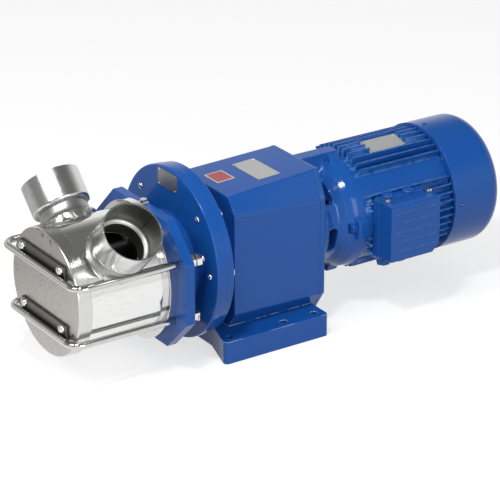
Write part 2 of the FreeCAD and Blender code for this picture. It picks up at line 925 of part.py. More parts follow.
def plate_corners():
    half = [
        ("plate_half_width - plate_corner", "0 - plate_half_height"),
        ("plate_half_width", "plate_corner - plate_half_height"),
        ("plate_half_width", "plate_half_height - plate_corner"),
        ("plate_half_width - plate_corner", "plate_half_height"),
    ]
    return mirrored_outline(half)


def bar_spots():
    """Side and height of the four bar legs about the pump axis."""
    spots = []
    for sign in ("", "0 - "):
        spots.append((sign + "upper_bar_half_width", "upper_bar_rise"))
        spots.append((sign + "lower_bar_half_width", "0 - lower_bar_drop"))
    return spots


def support_plate():
    body = new_body("support_plate", "pump_axis_height")
    sketch = sketch_on(body, "YZ_Plane", "plate_front")
    outline(sketch, plate_corners())
    circle(sketch, "0", "0", "plate_hole_radius")
    pad(body, sketch, "plate_thickness")
    holes = sketch_on(body, "YZ_Plane", "plate_front - overcut")
    for side, up in bar_spots():
        circle(holes, side, up, "bar_radius + seat_gap")
    pocket(body, holes, "plate_thickness + 2 * overcut")
    keep(body, "support_plate")


def plate_clip():
    """Small earth clip on the plate's top edge."""
    top = "pump_axis_height + plate_half_height"
    base = block("clip_base", ["plate_thickness - 2 * clip_inset", "clip_width", "clip_sheet"],
                 ["plate_front + clip_inset", "0 - clip_width / 2", top])
    nut = hex_rod("clip_nut", "clip_nut_flats", "clip_nut_height",
                  ["plate_front + plate_thickness / 2", "0", top + " + clip_sheet"], "z")
    keep(joined("plate_clip", [base, nut]), "plate_clip")


# Pump head

def pump_body():
    """Drum with a back flange, an open front and two holes where the ports are welded on."""
    body = turned("pump_drum", "pump_axis_height", [
        ("body_front", "chamber_radius"),
        ("body_front", "body_radius"),
        ("body_flange_front - body_neck_length", "body_radius"),
        ("body_flange_front - body_neck_length", "body_radius - body_neck_depth"),
        ("body_flange_front", "body_radius - body_neck_depth"),
        ("body_flange_front", "body_flange_radius"),
        ("body_back", "body_flange_radius"),
        ("body_back", "rear_bore_radius"),
        ("seat_back", "rear_bore_radius"),
        ("seat_back", "seal_seat_radius + running_gap"),
        ("chamber_back + seal_pocket_depth", "seal_seat_radius + running_gap"),
        ("chamber_back + seal_pocket_depth", "seal_pocket_radius"),
        ("chamber_back", "seal_pocket_radius"),
        ("chamber_back", "chamber_radius"),
    ])
    groove = sketch_on(body, "YZ_Plane", "body_front - overcut")
    circle(groove, "0", "0", "ring_groove_radius + ring_section + ring_groove_play")
    circle(groove, "0", "0", "ring_groove_radius - ring_section - ring_groove_play")
    pocket(body, groove, "ring_groove_depth + overcut")
    notches = sketch_on(body, "YZ_Plane", "body_flange_front - overcut")
    for side, up in bar_spots():
        circle(notches, side, up, "bar_radius + 2 * seat_gap")
    pocket(body, notches, "body_flange_thickness + 2 * overcut")
    tools = []
    for name, angle in (("suction", "port_angle"), ("delivery", "0 - port_angle")):
        tool = rod("%s_opening" % name, "port_bore", "port_reach", ["port_place", "0", "pump_axis_height"])
        aim_port(tool, angle)
        tools.append(tool)
    keep(cut("pump_body", body, joined("port_openings", tools)), "pump_body")


def aim_port(thing, angle):
    """Turn a piece built along its own Z axis so that it leans from upright towards the near side."""
    thing.Placement = FreeCAD.Placement(FreeCAD.Vector(0, 0, 0), SPIN_Z)
    bind(thing, **{
        "Placement.Rotation.Axis.x": "1",
        "Placement.Rotation.Axis.y": "0",
        "Placement.Rotation.Axis.z": "0",
        "Placement.Rotation.Angle": angle,
        "Placement.Base.x": "port_place",
        "Placement.Base.y": "0",
        "Placement.Base.z": "pump_axis_height",
    })


def port(label, angle):
    """Tube port: a saddle foot on the drum, a flare, a neck, a shoulder and a thin collar."""
    body = doc.addObject("PartDesign::Body", label + "_tube")
    sketch = sketch_on(body, "XZ_Plane")
    outline(sketch, [
        ("port_bore", "body_radius * 0.8"),
        ("port_flare_radius", "body_radius * 0.8"),
        ("port_flare_radius", "port_flare_end"),
        ("port_neck_radius + port_flare_waist", "port_flare_end + port_flare_length"),
        ("port_neck_radius", "port_reach - collar_length"),
        ("collar_radius", "port_reach - collar_length"),
        ("collar_radius", "port_reach"),
        ("collar_bore", "port_reach"),
        ("collar_bore", "port_reach - collar_length + collar_floor"),
        ("port_bore", "port_reach - collar_length + collar_floor"),
    ])
    turn = body.newObject("PartDesign::Revolution", label + "_turn")
    turn.Profile = sketch
    turn.ReferenceAxis = (sketch, ["V_Axis"])
    turn.Angle = 360
    body.Tip = turn
    dress(body, "Fillet", "collar_round", ring_round_z("port_reach - collar_length", "collar_radius"))
    dress(body, "Fillet", "collar_inner_round",
          ring_round_z("port_reach - collar_length + collar_floor", "collar_bore"))
    aim_port(body, angle)
    drum = rod(label + "_drum", "body_radius + running_gap / 2", "4 * port_flare_radius",
               ["port_place - 2 * port_flare_radius", "0", "pump_axis_height"])
    keep(cut(label, body, drum), label)


def pump_cover():
    body = turned("pump_cover", "pump_axis_height", [
        ("cover_front", "0"),
        ("cover_front", "cover_radius"),
        ("body_front", "cover_radius"),
        ("body_front", "0"),
    ])
    dress(body, "Fillet", "cover_edge", round_at("cover_front", "cover_radius"))
    hole = sketch_on(body, "YZ_Plane", "cover_front - overcut")
    for level in ("clamp_line_upper", "clamp_line_lower"):
        for side in ("0 - clamp_screw_offset", "clamp_screw_offset"):
            circle(hole, side, level, "clamp_screw_radius + running_gap")
    pocket(body, hole, "clamp_screw_depth + overcut")
    keep(body, "pump_cover")


PLACES["clamp_line_upper"] = "upper_bar_rise + clamp_lift"
PLACES["clamp_line_lower"] = "lower_clamp_lift - lower_bar_drop"
PLACES["clamp_thickness"] = "bar_front_gap - seat_gap"


def cover_ring():
    made = doc.addObject("Part::Torus", "cover_ring")
    bind(made, Radius1="ring_groove_radius", Radius2="ring_section")
    middle = "body_front + ring_groove_depth - ring_section - ring_groove_play / 2"
    place(made, [middle, "0", "pump_axis_height"], "x")
    keep(made, "cover_ring")


def bent_bar(label, half_width, level):
    """Round bar swept along two legs through the plate, two bends and a front run across the cover."""
    body = new_body(label, "pump_axis_height")
    path = sketch_on(body, "XY_Plane", level)
    lines = bar_path(number("plate_back + washer_thickness + bar_nut_height + screw_end"), number(half_width))
    for line in lines:
        path.addGeometry(line, False)
    near, first_bend, front, second_bend, far = range(5)
    ends = ends_that_meet(path, lines)
    for one, one_end, other, other_end in ends:
        path.addConstraint(Sketcher.Constraint("Tangent", one, one_end, other, other_end))
    path.addConstraint(Sketcher.Constraint("Horizontal", near))
    path.addConstraint(Sketcher.Constraint("Vertical", front))
    leg = "plate_back + washer_thickness + bar_nut_height + screw_end"
    constrain(path, "Radius", first_bend, "bar_bend_radius")
    constrain(path, "Radius", second_bend, "bar_bend_radius")
    constrain(path, "DistanceX", -1, 1, near, 1, leg)
    constrain(path, "DistanceY", -1, 1, near, 1, "0 - " + half_width)
    constrain(path, "DistanceX", -1, 1, front, 1, "bar_front")
    constrain(path, "DistanceX", -1, 1, far, 2, leg)
    constrain(path, "DistanceY", -1, 1, far, 2, half_width)
    path.addConstraint(Sketcher.Constraint("Horizontal", far))
    section = sketch_on(body, "YZ_Plane", leg)
    circle(section, "0 - " + half_width, level, "bar_radius")
    pipe = body.newObject("PartDesign::AdditivePipe", label + "_pipe")
    pipe.Profile = section
    pipe.Spine = (path, ["Edge%d" % (index + 1) for index in range(len(lines))])
    body.Tip = pipe
    keep(body, label)


def bar_path(leg_end, side):
    """Straight runs and quarter bends of a stirrup's centre line, seen from above."""
    front = number("bar_front")
    bend = number("bar_bend_radius")
    inner = bend * (1 - math.sqrt(0.5))
    near_bend = Part.Arc(FreeCAD.Vector(front + bend, 0 - side, 0),
                         FreeCAD.Vector(front + inner, inner - side, 0),
                         FreeCAD.Vector(front, bend - side, 0))
    far_bend = Part.Arc(FreeCAD.Vector(front, side - bend, 0),
                        FreeCAD.Vector(front + inner, side - inner, 0),
                        FreeCAD.Vector(front + bend, side, 0))
    return [
        Part.LineSegment(FreeCAD.Vector(leg_end, 0 - side, 0), FreeCAD.Vector(front + bend, 0 - side, 0)),
        near_bend,
        Part.LineSegment(FreeCAD.Vector(front, bend - side, 0), FreeCAD.Vector(front, side - bend, 0)),
        far_bend,
        Part.LineSegment(FreeCAD.Vector(front + bend, side, 0), FreeCAD.Vector(leg_end, side, 0)),
    ]


def ends_that_meet(path, lines):
    """Pairs of ends of the path's pieces that lie on one spot."""
    meeting = []
    for index in range(len(lines) - 1):
        for one_end in (1, 2):
            for other_end in (1, 2):
                gap = path.getPoint(index, one_end).distanceToPoint(path.getPoint(index + 1, other_end))
                if gap < 0.001:
                    meeting.append((index, one_end, index + 1, other_end))
    return meeting


def clamp_bar(label, half_width, line, level):
    """Flat bar between the round bar and the cover, with two screw holes."""
    body = new_body(label, "pump_axis_height")
    sketch = sketch_on(body, "YZ_Plane", "cover_front - clamp_thickness")
    reach = "%s - clamp_inset" % half_width
    top = "%s + clamp_height / 2" % line
    bottom = "%s - bar_radius / 2" % level
    outline(sketch, [("0 - (%s)" % reach, bottom), (reach, bottom), (reach, top), ("0 - (%s)" % reach, top)])
    pad(body, sketch, "clamp_thickness")
    holes = sketch_on(body, "YZ_Plane", "cover_front - clamp_thickness - overcut")
    for side in ("0 - clamp_screw_offset", "clamp_screw_offset"):
        circle(holes, side, line, "clamp_screw_radius + running_gap")
    pocket(body, holes, "clamp_thickness + 2 * overcut")
    keep(body, label)


def clamp_screws():
    """Domed screws through the clamp bars into the cover."""
    screws = []
    for row, line in (("upper", "clamp_line_upper"), ("lower", "clamp_line_lower")):
        for column, side in (("near", "0 - clamp_screw_offset"), ("far", "clamp_screw_offset")):
            name = "clamp_screw_%s_%s" % (row, column)
            height = "pump_axis_height + %s" % line
            shank = rod(name + "_shank", "clamp_screw_radius",
                        "clamp_thickness + clamp_screw_depth - seat_gap",
                        ["cover_front - clamp_thickness", side, height])
            head = cone(name + "_head", "clamp_head_top_radius", "clamp_head_radius", "clamp_head_height",
                        ["cover_front - clamp_thickness - clamp_head_height", side, height])
            screws.append(joined(name, [shank, head]))
    keep(collected("clamp_screws", screws), "clamp_screws")


def bar_nuts():
    """Washers and nuts on the ends of the bars behind the plate."""
    nuts = []
    for index, (side, up) in enumerate(bar_spots()):
        height = "pump_axis_height + (%s)" % up
        washer = rod("bar_washer_%d" % index, "washer_radius", "washer_thickness",
                     ["plate_back", side, height])
        nut = hex_rod("bar_nut_body_%d" % index, "bar_nut_flats", "bar_nut_height",
                      ["plate_back + washer_thickness", side, height])
        hole = rod("bar_nut_hole_%d" % index, "bar_radius + running_gap",
                   "washer_thickness + bar_nut_height + 2 * overcut", ["plate_back - overcut", side, height])
        both = joined("bar_nut_whole_%d" % index, [washer, nut])
        nuts.append(cut("bar_nut_%d" % index, both, hole))
    keep(collected("bar_nuts", nuts), "bar_nuts")


def cam():
    """Raised block on the chamber wall between the ports, which bends the vanes."""
    radius = number("chamber_radius - running_gap")
    angle = math.radians(number("cam_half_angle"))
    low = number("chamber_radius - cam_depth")
    side = radius * math.sin(angle)
    up = radius * math.cos(angle)
    start = FreeCAD.Vector(0, -side, up)
    end = FreeCAD.Vector(0, side, up)
    outer = Part.Arc(start, FreeCAD.Vector(0, 0, radius), end).toShape()
    inner = Part.Arc(end, FreeCAD.Vector(0, 0, low), start).toShape()
    face = Part.Face(Part.Wire([outer, inner]))
    length = number("chamber_back - body_front - 2 * impeller_end_gap")
    made = doc.addObject("Part::Feature", "cam")
    made.Shape = face.extrude(FreeCAD.Vector(length, 0, 0))
    place(made, ["body_front + impeller_end_gap", "0", "pump_axis_height"])
    keep(made, "cam")


# Impeller and shaft seal

def vane_outline(bend, tip_radius):
    """Corners of one vane that stands up at the top, bent sideways by a given amount at its tip."""
    hub = number("impeller_hub - vane_sink")
    root = number("vane_root") / 2
    waist = number("vane_tip") / 2
    bulb = number("vane_bulb")
    taper = number("vane_taper")
    points_left = []
    points_right = []
    steps = 6
    for step in range(steps + 1):
        share = step / steps
        middle = bend * share * share
        up = hub + (tip_radius - bulb - hub) * share
        half = root + (waist - root) * min(1.0, share * taper)
        points_left.append(FreeCAD.Vector(0, middle - half, up))
        points_right.append(FreeCAD.Vector(0, middle + half, up))
    return points_left, points_right, FreeCAD.Vector(0, bend, tip_radius - bulb)


def vane(bend, tip_radius, length):
    """One rubber vane: a tapering web with a round bulb along its tip."""
    left, right, centre = vane_outline(bend, tip_radius)
    corners = left + list(reversed(right))
    web = Part.Face(Part.makePolygon(corners + [corners[0]])).extrude(FreeCAD.Vector(length, 0, 0))
    axis = FreeCAD.Vector(1, 0, 0)
    bulb = Part.makeCylinder(number("vane_bulb"), length, centre, axis)
    return web.fuse(bulb)


def impeller():
    """Rubber hub and vanes. The vane under the cam is bent, the others stand almost straight."""
    length = number("chamber_back - body_front - 2 * impeller_end_gap")
    axis = FreeCAD.Vector(1, 0, 0)
    centre = FreeCAD.Vector(0, 0, 0)
    shape = Part.makeCylinder(number("impeller_hub"), length, centre, axis)
    count = int(number("vane_count"))
    free_tip = number("chamber_radius - seat_gap")
    cam_tip = number("chamber_radius - cam_depth - cam_vane_gap")
    for index in range(count):
        under_cam = index == 0
        bend = number("cam_vane_bend" if under_cam else "free_vane_bend")
        tip = cam_tip if under_cam else free_tip
        blade = vane(bend, tip, length)
        blade.rotate(centre, axis, index * 360.0 / count)
        shape = shape.fuse(blade)
    over = number("overcut")
    start = FreeCAD.Vector(0 - over, 0, 0)
    bore = Part.makeCylinder(number("insert_radius + running_gap"), length + 2 * over, start, axis)
    made = doc.addObject("Part::Feature", "impeller")
    made.Shape = shape.cut(bore).removeSplitter()
    place(made, ["body_front + impeller_end_gap", "0", "pump_axis_height"])
    keep(made, "impeller")


def impeller_insert():
    keep(ring("impeller_insert", "insert_radius", "pump_shaft_radius + running_gap",
              "chamber_back - body_front - 2 * impeller_end_gap",
              ["body_front + impeller_end_gap", "0", "pump_axis_height"]), "impeller_insert")


def shaft_seal():
    """Seat ring in the pump's back wall, sliding ring against it and bellows behind the impeller."""
    keep(ring("seal_seat", "seal_seat_radius", "pump_shaft_radius + shaft_clearance", "seal_seat_width",
              ["chamber_back + seal_pocket_depth", "0", "pump_axis_height"]), "seal_seat")
    keep(ring("seal_ring", "bellows_radius", "pump_shaft_radius + running_gap", "ring_length",
              ["ring_front", "0", "pump_axis_height"]), "seal_ring")
    inner = "pump_shaft_radius + running_gap"
    keep(turned("seal_bellows", "pump_axis_height", [
        ("bellows_front", inner),
        ("bellows_front", "bellows_radius"),
        ("bellows_front + bellows_pitch", "bellows_radius"),
        ("bellows_front + 2 * bellows_pitch", "bellows_radius - bellows_fold"),
        ("bellows_front + 3 * bellows_pitch", "bellows_radius"),
        ("bellows_front + 4 * bellows_pitch", "bellows_radius - bellows_fold"),
        ("ring_front", "bellows_radius - seal_ring_step / 2"),
        ("ring_front", inner),
    ]), "seal_bellows")


PLACES["bellows_radius"] = "seal_seat_radius - seal_ring_step"
PLACES["ring_length"] = "seal_seat_width - seal_ring_step"
PLACES["ring_front"] = "chamber_back + seal_pocket_depth - seal_seat_width + seal_ring_step - running_gap"
PLACES["bellows_front"] = "chamber_back - impeller_end_gap + running_gap"


def output_shaft():
    """Shaft from the pump chamber through the flange bearing to the wall inside the gearbox."""
    keep(turned("output_shaft", "pump_axis_height", [
        ("body_front + pump_shaft_end", "0"),
        ("body_front + pump_shaft_end", "pump_shaft_radius"),
        ("disc_front - pump_shaft_taper", "pump_shaft_radius"),
        ("disc_front", "output_bearing_inner"),
        ("housing_front + shoulder_gap", "output_bearing_inner"),
        ("housing_front + shoulder_gap", "output_collar_radius"),
        ("second_gear_front", "output_collar_radius"),
        ("second_gear_front", "gear_bore_radius"),
        ("second_gear_front + second_gear_width + gear_collar", "gear_bore_radius"),
        ("second_gear_front + second_gear_width + gear_collar", "rear_bearing_inner + bearing_shoulder"),
        ("wall_front", "rear_bearing_inner + bearing_shoulder"),
        ("wall_front", "rear_bearing_inner"),
        ("wall_back + shoulder_gap", "rear_bearing_inner"),
        ("wall_back + shoulder_gap", "0"),
    ]), "output_shaft")


def bearings():
    """Rolling bearings as sealed rings, each with running clearance on its shaft."""
    keep(ring("output_front_bearing", "output_bearing_outer", "output_bearing_inner + running_gap",
              "output_bearing_width",
              ["housing_front - output_bearing_width", "0", "pump_axis_height"]), "output_front_bearing")
    keep(ring("output_rear_bearing", "rear_bearing_outer", "rear_bearing_inner + running_gap",
              "rear_bearing_width", ["wall_front", "0", "pump_axis_height"]), "output_rear_bearing")
    pair = []
    for name, spot in (("front", "housing_front"), ("back", "boss_front")):
        pair.append(ring("layshaft_bearing_" + name, "small_bearing_outer",
                         "small_bearing_inner + running_gap", "small_bearing_width",
                         [spot, "0", "layshaft_height"]))
    keep(collected("layshaft_bearings", pair), "layshaft_bearings")
    seal_spot = ["disc_back + output_seal_depth - output_seal_width", "0", "pump_axis_height"]
    keep(ring("output_oil_seal", "output_seal_radius", "output_bearing_inner + running_gap",
              "output_seal_width", seal_spot), "output_oil_seal")
    keep(ring("input_oil_seal", "input_seal_radius", "input_shaft_radius + running_gap", "input_seal_width",
              ["rear_cover_back - input_seal_width", "0", "motor_axis_height"]), "input_oil_seal")
    pair = []
    for name, spot in (("drive", "front_bearing_back - motor_bearing_width"), ("fan", "rear_bearing_front")):
        pair.append(ring("motor_bearing_" + name, "motor_bearing_outer", "motor_bearing_inner + running_gap",
                         "motor_bearing_width", [spot, "0", "motor_axis_height"]))
    keep(collected("motor_bearings", pair), "motor_bearings")


# Gears

def involute_flank(base, low, high, steps):
    """Radius and angle of points on an involute from a low to a high radius."""
    points = []
    for step in range(steps + 1):
        radius = low + (high - low) * step / steps
        roll = math.sqrt(max(radius * radius / base / base - 1, 0))
        points.append((radius, roll - math.atan(roll)))
    return points


def gear_face(module, teeth, play, phase):
    """Flat outline of a spur gear in the plane across X, with one tooth centred at the phase angle."""
    pressure = math.radians(number("pressure_angle"))
    pitch = module * teeth / 2
    base = pitch * math.cos(pressure)
    tip = pitch + number("tooth_addendum") * module
    root = pitch - number("tooth_dedendum") * module
    start = max(base, root + number("tooth_root_rise") * module)
    half_tooth = math.pi / 2 / teeth - play / 4 / pitch + math.tan(pressure) - pressure
    flank = involute_flank(base, start, tip, 4)
    points = []
    for tooth in range(int(teeth)):
        centre = phase + tooth * 2 * math.pi / teeth
        first = half_tooth - flank[0][1]
        points.append((root, centre - first))
        for radius, angle in flank:
            points.append((radius, centre - half_tooth + angle))
        for radius, angle in reversed(flank):
            points.append((radius, centre + half_tooth - angle))
        points.append((root, centre + first))
    corners = [FreeCAD.Vector(0, radius * math.cos(angle), radius * math.sin(angle))
               for radius, angle in points]
    return Part.Face(Part.makePolygon(corners + [corners[0]]))


def gear_wheel(label, module, teeth, width, bore, spot, phase):
    """Gear wheel with a round bore and a thinner web between hub and rim."""
    axis = FreeCAD.Vector(1, 0, 0)
    face = gear_face(number(module), number(teeth), number("backlash"), phase)
    shape = face.extrude(FreeCAD.Vector(number(width), 0, 0))
    over = number("overcut")
    recess = number("gear_web_recess")
    hub = number(bore + " + gear_hub_wall")
    rim = number("%s * (%s / 2 - tooth_dedendum) - gear_rim_wall" % (module, teeth))
    if rim > hub:
        for start in (0 - over, number(width) - recess):
            ring_cut = Part.makeCylinder(rim, recess + over, FreeCAD.Vector(start, 0, 0), axis)
            hub_start = FreeCAD.Vector(start - over, 0, 0)
            ring_cut = ring_cut.cut(Part.makeCylinder(hub, recess + 3 * over, hub_start, axis))
            shape = shape.cut(ring_cut)
    hole_start = FreeCAD.Vector(0 - over, 0, 0)
    hole = Part.makeCylinder(number(bore + " + running_gap"), number(width) + 2 * over, hole_start, axis)
    made = doc.addObject("Part::Feature", label)
    made.Shape = shape.cut(hole)
    place(made, spot)
    keep(made, label)


def shaft_with_pinion(label, height, module, teeth, pinion_spot, pinion_width, corners, phase):
    """Shaft turned from one piece with its pinion."""
    spots = [FreeCAD.Vector(number(across), 0, number(radius)) for across, radius in corners]
    profile = Part.Face(Part.makePolygon(spots + [spots[0]]))
    shaft = profile.revolve(FreeCAD.Vector(0, 0, 0), FreeCAD.Vector(1, 0, 0), 360)
    face = gear_face(number(module), number(teeth), number("backlash"), phase)
    pinion = face.extrude(FreeCAD.Vector(number(pinion_width), 0, 0))
    pinion.translate(FreeCAD.Vector(number(pinion_spot), 0, 0))
    made = doc.addObject("Part::Feature", label)
    made.Shape = shaft.fuse(pinion)
    place(made, ["0", "0", height])
    keep(made, label)


def gear_train():
    """Two reductions. Each pinion has a tooth on the line of centres and each wheel has a gap there."""
    up = math.pi / 2
    second_gap = math.pi / number("second_gear_teeth")
    first_gap = math.pi / number("first_gear_teeth")
    gear_wheel("output_gear", "second_module", "second_gear_teeth", "second_gear_width", "gear_bore_radius",
               ["second_gear_front", "0", "pump_axis_height"], up + second_gap)
    gear_wheel("intermediate_gear", "first_module", "first_gear_teeth", "first_gear_width",
               "small_gear_bore_radius", ["first_gear_front", "0", "layshaft_height"], first_gap - up)
    shaft_with_pinion("intermediate_shaft", "layshaft_height", "second_module", "second_pinion_teeth",
                      "second_gear_front - pinion_extra_width / 2",
                      "second_gear_width + pinion_extra_width", [
                          ("housing_front", "0"),
                          ("housing_front", "small_bearing_inner"),
                          ("cavity_front", "small_bearing_inner"),
                          ("cavity_front", "layshaft_radius"),
                          ("wall_back", "layshaft_radius"),
                          ("wall_back", "small_gear_bore_radius + small_gear_collar"),
                          ("first_gear_front", "small_gear_bore_radius + small_gear_collar"),
                          ("first_gear_front", "small_gear_bore_radius"),
                          ("first_gear_front + first_gear_width + shoulder_gap", "small_gear_bore_radius"),
                          ("first_gear_front + first_gear_width + shoulder_gap", "layshaft_radius"),
                          ("boss_front", "layshaft_radius"),
                          ("boss_front", "small_bearing_inner"),
                          ("housing_back", "small_bearing_inner"),
                          ("housing_back", "0"),
                      ], 0 - up)
    shaft_with_pinion("rotor_shaft", "motor_axis_height", "first_module", "first_pinion_teeth",
                      "first_gear_front - pinion_extra_width / 2", "first_gear_width + pinion_extra_width", [
                          ("first_gear_front", "0"),
                          ("first_gear_front", "input_shaft_radius"),
                          ("front_bearing_back - motor_bearing_width", "input_shaft_radius"),
                          ("front_bearing_back - motor_bearing_width", "motor_bearing_inner"),
                          ("front_bearing_back", "motor_bearing_inner"),
                          ("front_bearing_back", "rotor_shaft_radius"),
                          ("rear_bearing_front", "rotor_shaft_radius"),
                          ("rear_bearing_front", "motor_bearing_inner"),
                          ("rear_bearing_front + motor_bearing_width", "motor_bearing_inner"),
                          ("rear_bearing_front + motor_bearing_width", "fan_shaft_radius"),
                          ("fan_front + fan_width + fan_shaft_end", "fan_shaft_radius"),
                          ("fan_front + fan_width + fan_shaft_end", "0"),
                      ], up)


# Input adapter and motor shields

def input_adapter():
    """Round casting between gearbox and motor, with four oval windows."""
    body = turned("adapter_casting", "motor_axis_height", [
        ("rear_cover_back", "adapter_bore"),
        ("rear_cover_back", "adapter_rim_radius"),
        ("rear_cover_back + adapter_rim", "adapter_rim_radius"),
        ("rear_cover_back + adapter_rim", "adapter_radius"),
        ("adapter_back - adapter_bell_length", "adapter_radius"),
        ("adapter_back", "adapter_bell_radius"),
        ("adapter_back", "adapter_bore"),
    ])
    top_rib(body, "rear_cover_back", "adapter_length")
    tools = []
    for name, angle in (("upper_near", "upper_window_angle"), ("lower_near", "lower_window_angle"),
                        ("upper_far", "0 - upper_window_angle"), ("lower_far", "0 - lower_window_angle")):
        tool = doc.addObject("Part::Feature", "window_" + name)
        tool.Shape = oval_bar()
        bind(tool, **{
            "Placement.Rotation.Axis.x": "1",
            "Placement.Rotation.Axis.y": "0",
            "Placement.Rotation.Axis.z": "0",
            "Placement.Rotation.Angle": angle,
            "Placement.Base.x": "(rear_cover_back + adapter_back) / 2",
            "Placement.Base.z": "motor_axis_height",
        })
        tools.append(tool)
    keep(cut("input_adapter", body, joined("adapter_windows", tools)), "input_adapter")


def top_rib(body, start, length):
    """Flat rib along the top of the bell, between the gearbox and the motor's fins."""
    rib = sketch_on(body, "YZ_Plane", start)
    outline(rib, mirrored_outline([("rib_half_width", "rib_root"), ("rib_half_width", "rib_top")]))
    pad(body, rib, length)


def oval_bar():
    """Upright bar with an oval section, which cuts one window."""
    half = number("window_half_width")
    reach = number("window_half_height") - half
    low = number("window_cut_start")
    corners = [FreeCAD.Vector(-half, -reach, low), FreeCAD.Vector(-half, reach, low),
               FreeCAD.Vector(half, reach, low), FreeCAD.Vector(half, -reach, low)]
    far = Part.Arc(corners[1], FreeCAD.Vector(0, reach + half, low), corners[2]).toShape()
    near = Part.Arc(corners[3], FreeCAD.Vector(0, -reach - half, low), corners[0]).toShape()
    left = Part.LineSegment(corners[0], corners[1]).toShape()
    right = Part.LineSegment(corners[2], corners[3]).toShape()
    face = Part.Face(Part.Wire([left, far, right, near]))
    return face.extrude(FreeCAD.Vector(0, 0, number("adapter_rim_radius")))


def motor_front_shield():
    """Motor flange with four lugs and the seat of the front bearing."""
    body = turned("motor_front_shield", "motor_axis_height", [
        ("adapter_back", "input_shaft_radius + shaft_clearance"),
        ("adapter_back", "adapter_bell_radius"),
        ("adapter_back + shield_round", "shield_radius - shield_edge"),
        ("shield_back", "shield_radius"),
        ("shield_back", "frame_bore - shield_lip"),
        ("front_bearing_back", "frame_bore - shield_lip"),
        ("front_bearing_back", "motor_bearing_outer + running_gap"),
        ("front_bearing_back - motor_bearing_width", "motor_bearing_outer + running_gap"),
        ("front_bearing_back - motor_bearing_width", "input_shaft_radius + shaft_clearance"),
    ])
    top_rib(body, "adapter_back", "shield_length")
    lug = sketch_on(body, "YZ_Plane", "shield_back - lug_length")
    outline(lug, mirrored_outline([
        ("lug_half_width", "lug_reach - lug_slope"),
        ("lug_nose_half_width", "lug_reach"),
    ]))
    repeat_round(body, pad(body, lug, "lug_length"), "4")
    spot_face = sketch_on(body, "YZ_Plane", "adapter_back - overcut")
    circle(spot_face, "0", "lug_bolt_circle", "lug_bolt_flats / 2 / cos(30) + seat_gap")
    repeat_round(body, pocket(body, spot_face, "shield_length - lug_length + overcut"), "4")
    keep(body, "motor_front_shield")


def adapter_bolts():
    """Hexagon bolts in front of the four lugs."""
    bolts = []
    for index, (side, up) in enumerate(spots_round("lug_bolt_circle", "4")):
        height = "motor_axis_height + %s" % up
        bolts.append(hex_rod("adapter_bolt_%d" % index, "lug_bolt_flats", "lug_bolt_head",
                             ["shield_back - lug_length - lug_bolt_head", side, height]))
    keep(collected("adapter_bolts", bolts), "adapter_bolts")


# Motor

def motor_frame():
    """Finned frame: a tube, fins in four groups, a pad for the box and one for the nameplate."""
    body = turned("frame_tube", "motor_axis_height", [
        ("shield_back", "0"),
        ("shield_back", "frame_radius"),
        ("frame_back", "frame_radius"),
        ("frame_back", "0"),
    ])
    for count, start, reach in (("top_fin_count", 0, "fin_radius"), ("side_fin_count", 90, "fin_radius"),
                                ("top_fin_count", 180, "low_fin_radius"),
                                ("side_fin_count", 270, "fin_radius")):
        fin_group(body, count, start, reach)
    box_pad = sketch_on(body, "XZ_Plane", "frame_radius / 2")
    outline(box_pad, box_outline("box_front + box_pad_inset", "box_length - 2 * box_pad_inset",
                                 "(box_low - box_pad_inset)", "(box_top - box_pad_inset)"))
    pad(body, box_pad, "box_foot - frame_radius / 2")
    box_room = sketch_on(body, "XZ_Plane", "box_foot")
    outline(box_room, box_outline("box_front - fin_thickness", "box_length + 2 * fin_thickness",
                                  "(box_low + fin_thickness)", "(box_top + fin_thickness)"))
    pocket(body, box_room, "2 * (fin_radius - frame_radius)")
    bore = sketch_on(body, "YZ_Plane", "shield_back - overcut")
    circle(bore, "0", "0", "frame_bore + running_gap")
    pocket(body, bore, "frame_length + 2 * overcut")
    plate_room = name_plate_block("name_room", "name_room_height", "name_pad_level")
    plate_pad = name_plate_block("name_pad", "name_pad_depth", "name_pad_level - name_pad_depth")
    cleared = cut("frame_cleared", body, plate_room)
    keep(joined("motor_frame", [cleared, plate_pad]), "motor_frame")


def name_plate_block(name, height, level):
    """Box on the tilted place of the nameplate."""
    made = doc.addObject("Part::Box", name)
    bind(made, Length="name_pad_length", Width="name_pad_width", Height=height)
    tilt = number("name_pad_tilt")
    lean = FreeCAD.Rotation(FreeCAD.Vector(1, 0, 0), tilt)
    made.Placement = FreeCAD.Placement(FreeCAD.Vector(0, 0, 0), lean)
    bind(made, **{
        "Placement.Rotation.Angle": "name_pad_tilt",
        "Placement.Base.x": "shield_back + name_pad_start",
        "Placement.Base.y": "(name_pad_shift - name_pad_width / 2) * cos(name_pad_tilt)"
                            " - (%s) * sin(name_pad_tilt)" % level,
        "Placement.Base.z": "motor_axis_height + (%s) * cos(name_pad_tilt)"
                            " + (name_pad_shift - name_pad_width / 2) * sin(name_pad_tilt)" % level,
    })
    return made


def fin_group(body, count, start, reach):
    """Fins spread evenly about one direction, counted from straight up towards the near side."""
    sketch = sketch_on(body, "YZ_Plane", "fin_front")
    half_spread = "(%s - 1) * fin_pitch / 2" % count
    turn = FreeCAD.Rotation(FreeCAD.Vector(0, 0, 1), 1)
    sketch.AttachmentOffset = FreeCAD.Placement(FreeCAD.Vector(0, 0, 0), turn)
    bind(sketch, **{"AttachmentOffset.Rotation.Angle": "%d - (%s)" % (start, half_spread),
                    "AttachmentOffset.Base.z": "fin_front"})
    outline(sketch, [
        ("0 - fin_thickness / 2", "frame_radius - fin_root"),
        ("fin_thickness / 2", "frame_radius - fin_root"),
        ("fin_thickness / 3", reach),
        ("0 - fin_thickness / 3", reach),
    ])
    fin = pad(body, sketch, "fin_back - fin_front")
    repeat_round(body, fin, count, "(%s - 1) * fin_pitch" % count)


